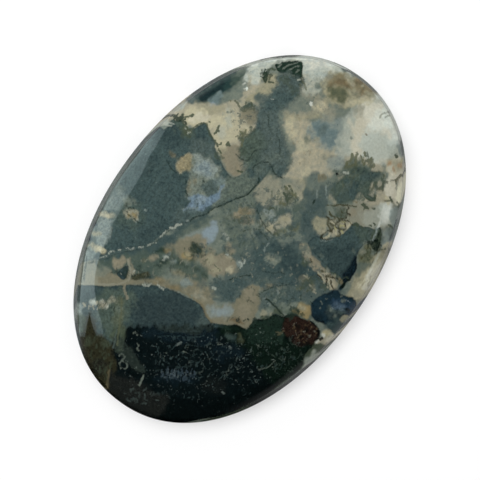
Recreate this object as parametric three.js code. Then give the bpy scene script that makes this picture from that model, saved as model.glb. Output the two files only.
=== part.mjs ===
// A moss agate cabochon: one oval stone, cut with a flat back and a low polished dome.
// Millimetres. +X runs along the stone towards its pale end, +Y across it and +Z up.
// The origin is the middle of the flat back, so the stone lies on the plane z = 0.
import * as THREE from "three";

// The oval, seen from above
const LENGTH = 40.0;
const WIDTH = 27.2;
const OVAL_POWER = 2.1; // 2 is a plain ellipse, and this hand-ground oval is a little fuller

// The section, from the back up
const THICKNESS = 5.6;
const BACK_BEVEL = 0.3; // at 45 degrees, round the back's edge
const WALL_TOP = 1.9; // where the steep side ends and the dome begins
const WALL_LEAN = 0.5; // how far the side leans in by its top
const DOME_FLATNESS = 2.4; // higher keeps the middle of the dome flatter
const DOME_SHOULDER = 1.7; // higher turns the dome's edge down more squarely

// How finely the skin is faceted
const FACETS_ROUND = 112;
const DOME_RINGS = 18;

const POLISHED_GREEN = new THREE.Color(0.2, 0.25, 0.23);

// A point of the oval that is drawn round the stone's widest line, and the outward direction there.
function ovalAt(angle) {
  const along = Math.cos(angle);
  const across = Math.sin(angle);
  const reach = (part) => Math.sign(part) * Math.abs(part) ** (2 / OVAL_POWER);
  const lean = (part) => Math.sign(part) * Math.abs(part) ** (2 - 2 / OVAL_POWER);
  return {
    point: new THREE.Vector2((LENGTH / 2) * reach(along), (WIDTH / 2) * reach(across)),
    outward: new THREE.Vector2(lean(along) / LENGTH, lean(across) / WIDTH).normalize(),
  };
}

// The section as a list of rings. Each ring is the oval drawn in by inset, shrunk to share of its
// size, at that height: the back, its bevel, the leaning side, and the dome up to its top.
function section() {
  const rings = [
    { inset: 0, share: 0, height: 0 },
    { inset: BACK_BEVEL, share: 1, height: 0 },
    { inset: 0, share: 1, height: BACK_BEVEL },
  ];
  for (let ring = 0; ring <= DOME_RINGS; ring++) {
    const turn = (ring / DOME_RINGS) * (Math.PI / 2);
    rings.push({
      inset: WALL_LEAN,
      share: ring === DOME_RINGS ? 0 : Math.cos(turn) ** (2 / DOME_FLATNESS),
      height: WALL_TOP + (THICKNESS - WALL_TOP) * Math.sin(turn) ** (2 / DOME_SHOULDER),
    });
  }
  return rings;
}

// A lathe closes the skin over the section, and its round rings are then drawn out to the oval.
function stoneGeometry() {
  const rings = section();
  const profile = rings.map(({ share, height }) => new THREE.Vector2(share, height));
  const skin = new THREE.LatheGeometry(profile, FACETS_ROUND);
  const place = skin.getAttribute("position");
  for (let vertex = 0; vertex < place.count; vertex++) {
    const { inset, share, height } = rings[vertex % rings.length];
    const facet = Math.floor(vertex / rings.length) % FACETS_ROUND;
    const { point, outward } = ovalAt((2 * Math.PI * facet) / FACETS_ROUND);
    const drawn = point.addScaledVector(outward, -inset).multiplyScalar(share);
    place.setXYZ(vertex, drawn.x, drawn.y, height);
  }
  skin.computeVertexNormals();
  return skin;
}

const polish = new THREE.MeshStandardMaterial({
  color: POLISHED_GREEN,
  roughness: 0.1,
  metalness: 0,
});

const stone = new THREE.Mesh(stoneGeometry(), polish);
stone.name = "cabochon";

const cabochon = new THREE.Group();
cabochon.add(stone);

export default cabochon;
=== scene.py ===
"""A moss agate cabochon on a pale floor.

The stone is an oval with a flat back and a low polished dome. Geometry Nodes cut its shape, traced
markings lay out the moss and the milky stone between, and the material ravels and clouds them.
"""

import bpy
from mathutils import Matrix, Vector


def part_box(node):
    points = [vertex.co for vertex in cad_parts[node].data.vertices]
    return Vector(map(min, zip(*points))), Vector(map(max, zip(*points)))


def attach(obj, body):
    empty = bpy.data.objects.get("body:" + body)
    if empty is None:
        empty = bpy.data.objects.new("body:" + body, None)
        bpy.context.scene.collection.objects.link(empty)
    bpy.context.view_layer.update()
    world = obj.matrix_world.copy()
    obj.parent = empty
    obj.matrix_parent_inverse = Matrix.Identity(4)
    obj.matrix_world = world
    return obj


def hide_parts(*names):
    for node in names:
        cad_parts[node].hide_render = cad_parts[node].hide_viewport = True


bl_info = {
    "name": "Moss Agate Cabochon",
    "version": (1, 0, 0),
    "blender": (4, 5, 0),
    "location": "View3D > Sidebar > Cabochon",
    "description": "Cuts an oval moss agate cabochon and lights it on a pale floor",
    "category": "Add Mesh",
}

import math
import random
from typing import NamedTuple

import bpy
import numpy as np
from bpy.props import FloatProperty, FloatVectorProperty, IntProperty, PointerProperty
from mathutils import Matrix, Vector

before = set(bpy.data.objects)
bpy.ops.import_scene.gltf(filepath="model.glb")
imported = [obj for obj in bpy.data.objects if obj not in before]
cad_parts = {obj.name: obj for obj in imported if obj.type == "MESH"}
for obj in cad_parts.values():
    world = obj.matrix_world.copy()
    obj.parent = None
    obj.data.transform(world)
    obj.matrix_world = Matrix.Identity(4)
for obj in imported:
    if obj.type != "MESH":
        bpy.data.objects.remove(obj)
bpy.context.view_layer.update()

NODE = "cabochon"
BODY = "root"
STONE_LOW, STONE_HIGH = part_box(NODE)
MM = 0.001

# How the photograph shows the stone, in its own pixels
FRAME_PIXELS = 480
STONE_MIDDLE = (239.7, 239.0)
STONE_LENGTH_PIXELS = 404.4
LONG_AXIS_TURN = math.radians(53.3)  # up from the picture's right side
GIRDLE_HEIGHT = 0.3 * MM  # the stone's widest line, which the outline shows

PIXEL = (STONE_HIGH.x - STONE_LOW.x) / STONE_LENGTH_PIXELS
PHOTO_RIGHT = Vector((math.cos(LONG_AXIS_TURN), -math.sin(LONG_AXIS_TURN), 0))
PHOTO_UP = Vector((math.sin(LONG_AXIS_TURN), math.cos(LONG_AXIS_TURN), 0))


def display(red, green, blue):
    """A screen colour, 0 to 255, as the linear values that shaders use."""
    parts = [part / 255 for part in (red, green, blue)]
    return tuple(p / 12.92 if p <= 0.04045 else ((p + 0.055) / 1.055) ** 2.4 for p in parts)


# Settings that a user would change


class CabochonShape(bpy.types.PropertyGroup):
    """The cut of the stone."""

    length: FloatProperty(
        name="Length", description="The oval's long axis", unit="LENGTH",
        default=STONE_HIGH.x - STONE_LOW.x, min=1 * MM,
    )
    width: FloatProperty(
        name="Width", description="The oval's short axis", unit="LENGTH",
        default=STONE_HIGH.y - STONE_LOW.y, min=1 * MM,
    )
    thickness: FloatProperty(
        name="Thickness", description="From the back to the top of the dome", unit="LENGTH",
        default=STONE_HIGH.z - STONE_LOW.z, min=1 * MM,
    )
    oval_power: FloatProperty(
        name="Oval Power", description="2 is an ellipse, and more is a fuller oval",
        default=2.1, min=1,
    )
    bevel: FloatProperty(
        name="Back Bevel", description="At 45 degrees round the back", unit="LENGTH",
        default=GIRDLE_HEIGHT, min=0,
    )
    wall_top: FloatProperty(
        name="Wall Top", description="Where the side ends and the dome begins", unit="LENGTH",
        default=1.9 * MM, min=0,
    )
    wall_lean: FloatProperty(
        name="Wall Lean", description="How far the side leans in by its top", unit="LENGTH",
        default=0.5 * MM, min=0,
    )
    dome_flatness: FloatProperty(
        name="Dome Flatness", description="Higher keeps the middle of the dome flatter",
        default=2.4, min=1,
    )
    dome_shoulder: FloatProperty(
        name="Dome Shoulder", description="Higher turns the dome's edge down more squarely",
        default=1.7, min=1,
    )
    cells: IntProperty(
        name="Cells", description="Mesh cells across the dome, an even number",
        default=256, min=8, max=256, step=2,
    )


class StageLook(bpy.types.PropertyGroup):
    """The lights, the floor and the camera's lens."""

    lens: FloatProperty(
        name="Lens", description="Focal length in millimetres", default=100, min=20,
    )
    key_power: FloatProperty(
        name="Key", description="Radiance of the soft light above", default=5.3, min=0,
    )
    fill: FloatProperty(
        name="Fill", description="Radiance of the pale surroundings", default=0.55, min=0,
    )
    window: FloatProperty(
        name="Window", description="Brightness of the lights that the dome mirrors",
        default=1.0, min=0,
    )
    low_glow: FloatProperty(
        name="Low Glow", description="Radiance of what the stone's side mirrors on its lit side",
        default=0.3, min=0,
    )
    floor_glow: FloatProperty(
        name="Floor Glow", description="How strongly the floor glows of itself",
        default=0.46, min=0,
    )
    floor: FloatVectorProperty(
        name="Floor", description="Colour of the floor", subtype="COLOR", size=3,
        default=(0.5, 0.5, 0.5), min=0, max=1,
    )


# Helpers for nodes and objects


class Wiring:
    """Adds nodes to one tree and feeds their inputs with numbers or other nodes' outputs."""

    def __init__(self, tree):
        self.tree = tree

    def add(self, kind, inputs=(), **settings):
        node = self.tree.nodes.new(kind)
        for name, value in settings.items():
            setattr(node, name, value)
        for key, value in dict(inputs).items():
            self.feed(node.inputs[key], value)
        return node

    def feed(self, socket, value):
        if isinstance(value, bpy.types.NodeSocket):
            self.tree.links.new(value, socket)
        else:
            socket.default_value = value

    def math(self, operation, *values, clamp=False):
        node = self.add("ShaderNodeMath", enumerate(values), operation=operation, use_clamp=clamp)
        return node.outputs[0]

    def vector(self, operation, *values, output=0):
        node = self.add("ShaderNodeVectorMath", operation=operation)
        for slot, value in enumerate(values):
            self.feed(node.inputs["Scale" if operation == "SCALE" and slot == 1 else slot], value)
        return node.outputs[output]

    def combine(self, *parts):
        return self.add("ShaderNodeCombineXYZ", enumerate(parts)).outputs[0]

    def noise(self, coordinates, scale, detail, roughness=0.5, distortion=0.0):
        inputs = {"Vector": coordinates, "Scale": scale, "Detail": detail, "Roughness": roughness,
                  "Distortion": distortion}
        return self.add("ShaderNodeTexNoise", inputs).outputs["Fac"]

    def choose(self, factor, low, high):
        node = self.add("ShaderNodeMix", {0: factor, 2: low, 3: high}, data_type="FLOAT")
        return node.outputs[0]

    def blend(self, factor, under, over):
        node = self.add("ShaderNodeMix", {0: factor, 6: under, 7: over}, data_type="RGBA")
        return node.outputs[2]

    def ramp(self, value, low, high, to_low=0.0, to_high=1.0):
        inputs = {"Value": value, "From Min": low, "From Max": high, "To Min": to_low, "To Max": to_high}
        node = self.add("ShaderNodeMapRange", inputs, interpolation_type="SMOOTHSTEP")
        return node.outputs[0]


def new_group(name, kind, inputs, outputs):
    """An empty node group with named sockets, as its tree, its wiring and its input node's outputs."""
    tree = bpy.data.node_groups.new(name, kind)
    for in_out, sockets in (("INPUT", inputs), ("OUTPUT", outputs)):
        for socket_name, socket_type, default in sockets:
            socket = tree.interface.new_socket(socket_name, in_out=in_out, socket_type=socket_type)
            if default is not None:
                socket.default_value = default
    wiring = Wiring(tree)
    return tree, wiring, wiring.add("NodeGroupInput").outputs


def fresh_wiring(owner):
    """The wiring of a material's or a world's nodes, begun with none."""
    owner.use_nodes = True
    owner.node_tree.nodes.clear()
    return Wiring(owner.node_tree)


def new_object(name, data):
    """An object put into the scene."""
    thing = bpy.data.objects.new(name, data)
    bpy.context.scene.collection.objects.link(thing)
    return thing


FLOAT = "NodeSocketFloat"
VECTOR = "NodeSocketVector"
COLOUR = "NodeSocketColor"

# The shape of the stone, in Geometry Nodes

SHAPE_INPUTS = {
    "Length": "length",
    "Width": "width",
    "Thickness": "thickness",
    "Oval Power": "oval_power",
    "Back Bevel": "bevel",
    "Wall Top": "wall_top",
    "Wall Lean": "wall_lean",
    "Dome Flatness": "dome_flatness",
    "Dome Shoulder": "dome_shoulder",
}
WALL_ROWS = 8
BEVEL_ROWS = 2
BACK_ROWS = 16
EDGE_CROWDING = 0.08  # draws the dome's outer rings together, where it turns down
EDGE_CROWDING_POWER = 11
SEAM = 0.001 * MM
SHARP_ANGLE = math.radians(25)


def oval_point_group():
    """A point on the oval at an angle, drawn in along the oval's outward direction by an inset."""
    inputs = [("Angle", FLOAT, None), ("Inset", FLOAT, 0.0), ("Length", FLOAT, None),
              ("Width", FLOAT, None), ("Oval Power", FLOAT, 2.0)]
    tree, g, given = new_group("Oval Point", "GeometryNodeTree", inputs, [("Point", VECTOR, None)])
    reach_power = g.math("DIVIDE", 2.0, given["Oval Power"])
    lean_power = g.math("SUBTRACT", 2.0, reach_power)
    reach, lean = [], []
    for turn, size in (("COSINE", given["Length"]), ("SINE", given["Width"])):
        part = g.math(turn, given["Angle"])
        side = g.math("SIGN", part)
        strength = g.math("ABSOLUTE", part)
        half = g.math("MULTIPLY", side, g.math("MULTIPLY", size, 0.5))
        reach.append(g.math("MULTIPLY", half, g.math("POWER", strength, reach_power)))
        slant = g.math("MULTIPLY", side, g.math("POWER", strength, lean_power))
        lean.append(g.math("DIVIDE", slant, size))
    inset = g.vector("SCALE", g.vector("NORMALIZE", g.combine(*lean)), given["Inset"])
    g.add("NodeGroupOutput", {"Point": g.vector("SUBTRACT", g.combine(*reach), inset)})
    return tree


def oval_point(g, given, oval, angle, inset):
    """The point that the oval's group gives for the stone's own size."""
    inputs = {name: given[name] for name in ("Length", "Width", "Oval Power")}
    inputs.update({"Angle": angle, "Inset": inset})
    return g.add("GeometryNodeGroup", inputs, node_tree=oval).outputs["Point"]


def flat_grid(g, size, across, down):
    """A grid with its middle at the origin, and the X and Y of its points."""
    counts = {"Vertices X": across, "Vertices Y": down}
    grid = g.add("GeometryNodeMeshGrid", {"Size X": size, "Size Y": size, **counts})
    position = g.add("GeometryNodeInputPosition").outputs[0]
    place = g.add("ShaderNodeSeparateXYZ", {0: position}).outputs
    return grid.outputs["Mesh"], place["X"], place["Y"]


def laid_on(g, grid, point, share, height):
    """The grid, its points moved to a share of the way out to the oval's points, and lifted."""
    flat = g.vector("SCALE", point, share)
    lifted = g.vector("ADD", flat, g.combine(0.0, 0.0, height))
    return g.add("GeometryNodeSetPosition", {"Geometry": grid, "Position": lifted}).outputs[0]


def dome_mesh(g, given, oval, cells):
    """A square grid laid out as an even disc, drawn to the oval and lifted to the dome."""
    corners = g.math("ADD", cells, 1.0)
    grid, a, b = flat_grid(g, 2.0, corners, corners)
    a_size, b_size = g.math("ABSOLUTE", a), g.math("ABSOLUTE", b)
    steep = g.math("GREATER_THAN", b_size, a_size)
    slant = g.choose(steep, g.math("DIVIDE", b, a), g.math("DIVIDE", a, b))
    turn = g.math("MULTIPLY", slant, math.pi / 4)
    ring = g.choose(steep, a, b)
    with_ring = g.math("MULTIPLY", ring, g.math("COSINE", turn))
    off_ring = g.math("MULTIPLY", ring, g.math("SINE", turn))
    x = g.choose(steep, with_ring, off_ring)
    y = g.choose(steep, off_ring, with_ring)
    angle = g.math("ARCTAN2", y, x)
    rank = g.math("MAXIMUM", a_size, b_size)
    spare = g.math("SUBTRACT", 1.0, g.math("POWER", rank, float(EDGE_CROWDING_POWER)))
    share = g.math("MULTIPLY", rank, g.math("MULTIPLY_ADD", spare, EDGE_CROWDING, 1.0))
    fall = g.math("SUBTRACT", 1.0, g.math("POWER", share, given["Dome Flatness"]), clamp=True)
    lift = g.math("POWER", fall, g.math("DIVIDE", 1.0, given["Dome Shoulder"]))
    rise = g.math("SUBTRACT", given["Thickness"], given["Wall Top"])
    height = g.math("MULTIPLY_ADD", lift, rise, given["Wall Top"])
    return laid_on(g, grid, oval_point(g, given, oval, angle, given["Wall Lean"]), share, height)


def ring_band(g, given, oval, cells, rows, low, high):
    """A strip of the skin between two rings, each an (inset, share of the oval's size, height)."""
    round_about = g.math("MULTIPLY", cells, 4.0)
    grid, x, y = flat_grid(g, 1.0, g.math("ADD", round_about, 1.0), rows + 1)
    angle = g.math("MULTIPLY", g.math("ADD", x, 0.5), 2 * math.pi)
    along = g.math("ADD", y, 0.5)
    inset, share, height = (g.choose(along, start, end) for start, end in zip(low, high))
    return laid_on(g, grid, oval_point(g, given, oval, angle, inset), share, height)


def cabochon_tree():
    """The whole stone: dome, leaning side, bevel and flat back, merged into one closed skin."""
    inputs = [(name, FLOAT, None) for name in SHAPE_INPUTS]
    inputs += [("Cells", "NodeSocketInt", 8), ("Material", "NodeSocketMaterial", None)]
    outputs = [("Geometry", "NodeSocketGeometry", None)]
    tree, g, given = new_group("Cabochon", "GeometryNodeTree", inputs, outputs)
    tree.is_modifier = True
    oval = oval_point_group()
    cells = given["Cells"]
    bevel, wall_top, lean = given["Back Bevel"], given["Wall Top"], given["Wall Lean"]
    bands = [
        ring_band(g, given, oval, cells, BACK_ROWS, (bevel, 0.0, 0.0), (bevel, 1.0, 0.0)),
        ring_band(g, given, oval, cells, BEVEL_ROWS, (bevel, 1.0, 0.0), (0.0, 1.0, bevel)),
        ring_band(g, given, oval, cells, WALL_ROWS, (0.0, 1.0, bevel), (lean, 1.0, wall_top)),
        dome_mesh(g, given, oval, cells),
    ]
    joined = g.add("GeometryNodeJoinGeometry")
    for band in reversed(bands):
        g.tree.links.new(band, joined.inputs[0])
    skin = g.add("GeometryNodeMergeByDistance", {"Geometry": joined.outputs[0], "Distance": SEAM}).outputs[0]
    smooth = g.add("GeometryNodeSetShadeSmooth", {"Geometry": skin, "Shade Smooth": True}).outputs[0]
    crease = g.add("GeometryNodeInputMeshEdgeAngle").outputs["Unsigned Angle"]
    sharp = g.math("GREATER_THAN", crease, SHARP_ANGLE)
    inputs = {"Geometry": smooth, "Selection": sharp, "Shade Smooth": False}
    creased = g.add("GeometryNodeSetShadeSmooth", inputs, domain="EDGE").outputs[0]
    whole = g.add("GeometryNodeRealizeInstances", {"Geometry": creased}).outputs[0]
    dressed = g.add("GeometryNodeSetMaterial", {"Geometry": whole, "Material": given["Material"]})
    g.add("NodeGroupOutput", {"Geometry": dressed.outputs[0]})
    return tree


def cut_stone(shape, material):
    """Runs the Geometry Nodes tree once and keeps its plain mesh."""
    stone = new_object("moss_agate_stone", bpy.data.meshes.new("uncut"))
    tree = cabochon_tree()
    cut = stone.modifiers.new("Cut", "NODES")
    cut.node_group = tree
    settings = {name: getattr(shape, field) for name, field in SHAPE_INPUTS.items()}
    settings.update({"Cells": shape.cells, "Material": material})
    for item in tree.interface.items_tree:
        if item.in_out == "INPUT" and item.name in settings:
            cut[item.identifier] = settings[item.name]
    graph = bpy.context.evaluated_depsgraph_get()
    mesh = bpy.data.meshes.new_from_object(stone.evaluated_get(graph), depsgraph=graph)
    mesh.name = "moss_agate_stone"
    stone.modifiers.remove(cut)
    stone.data = mesh
    return stone


# The markings, traced over the photograph in its own pixels

TONES = {
    "white": (200, 208, 198),
    "pearl": (188, 191, 180),
    "ivory": (180, 177, 158),
    "cream": (169, 165, 139),
    "milk": (165, 172, 161),
    "chalk": (152, 158, 146),
    "oat": (150, 147, 127),
    "straw": (140, 138, 115),
    "drab": (127, 128, 112),
    "sand": (124, 120, 102),
    "tan": (112, 110, 92),
    "amber": (132, 120, 86),
    "khaki": (108, 100, 76),
    "brown": (96, 84, 62),
    "mist": (119, 130, 124),
    "sky": (123, 138, 143),
    "lilac": (100, 119, 131),
    "blue": (97, 113, 112),
    "haze": (103, 112, 102),
    "sage": (86, 97, 88),
    "steel": (75, 88, 84),
    "slate": (59, 75, 74),
    "deep": (50, 65, 65),
    "dusk": (44, 57, 58),
    "smoke": (42, 51, 46),
    "fern": (71, 84, 75),
    "moss": (62, 72, 58),
    "olive": (86, 90, 68),
    "teal": (38, 58, 56),
    "pine": (32, 48, 40),
    "umber": (40, 40, 28),
    "bark": (27, 30, 28),
    "fir": (13, 25, 19),
    "night": (9, 17, 18),
    "pitch": (6, 12, 12),
    "storm": (17, 29, 34),
    "ink": (34, 46, 40),
    "navy": (26, 44, 52),
    "indigo": (37, 56, 71),
    "garnet": (37, 27, 22),
    "shell": (192, 191, 174),
    "bone": (212, 211, 185),
    "butter": (150, 148, 108),
    "rust": (150, 128, 98),
    "loam": (58, 58, 38),
}


BLOT_CORNERS = 8


class Patch(NamedTuple):
    """One soft-edged area of a tone. edge is how far its colour fades, in pixels."""

    tone: str
    outline: str
    edge: float = 2.0
    strength: float = 1.0


class Area(NamedTuple):
    """How much of a fine pattern an area has, from 0 to 1."""

    level: float
    outline: str
    edge: float = 5.0


class Sheet(NamedTuple):
    """A sheet of moss, or with solid=False a window in the ones before it. fray and soft are in pixels."""

    outline: str
    fray: float
    soft: float = 0.8
    solid: bool = True


class Stroke(NamedTuple):
    """A thread along a path, with its width in pixels."""

    tone: str
    path: str
    width: float
    strength: float


class Tuft(NamedTuple):
    """A small fan of branching moss. heading and fan are in degrees, anticlockwise from the right."""

    tone: str
    x: float
    y: float
    reach: float
    heading: float
    fan: float
    branches: int
    width: float
    strength: float = 0.9


class Litter(NamedTuple):
    """Short curved marks strewn over an oval. heading and spread are in degrees."""

    tone: str
    x: float
    y: float
    across: float
    up: float
    count: int
    length: float
    width: float
    strength: float
    heading: float = 0.0
    spread: float = 180.0


def blot(x, y, across, up, turn=0):
    """The outline of an oval spot."""
    tilt = math.radians(turn)
    outline = []
    for corner in range(BLOT_CORNERS):
        angle = 2 * math.pi * corner / BLOT_CORNERS
        right, high = across * math.cos(angle), up * math.sin(angle)
        place_x = x + right * math.cos(tilt) - high * math.sin(tilt)
        place_y = y - right * math.sin(tilt) - high * math.cos(tilt)
        outline.append(f"{place_x:.1f},{place_y:.1f}")
    return " ".join(outline)


def dabs(tone, edge, strength, ovals):
    """Oval patches of one tone, each written as "x,y,across,up" or "x,y,across,up,turn"."""
    sizes = ([float(part) for part in oval.split(",")] for oval in ovals.split())
    return [Patch(tone, blot(*size), edge, strength) for size in sizes]


def strokes(tone, width, strength, paths):
    """Threads of one tone, with ";" between their paths."""
    return [Stroke(tone, path, width, strength) for path in paths.split(";")]


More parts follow.
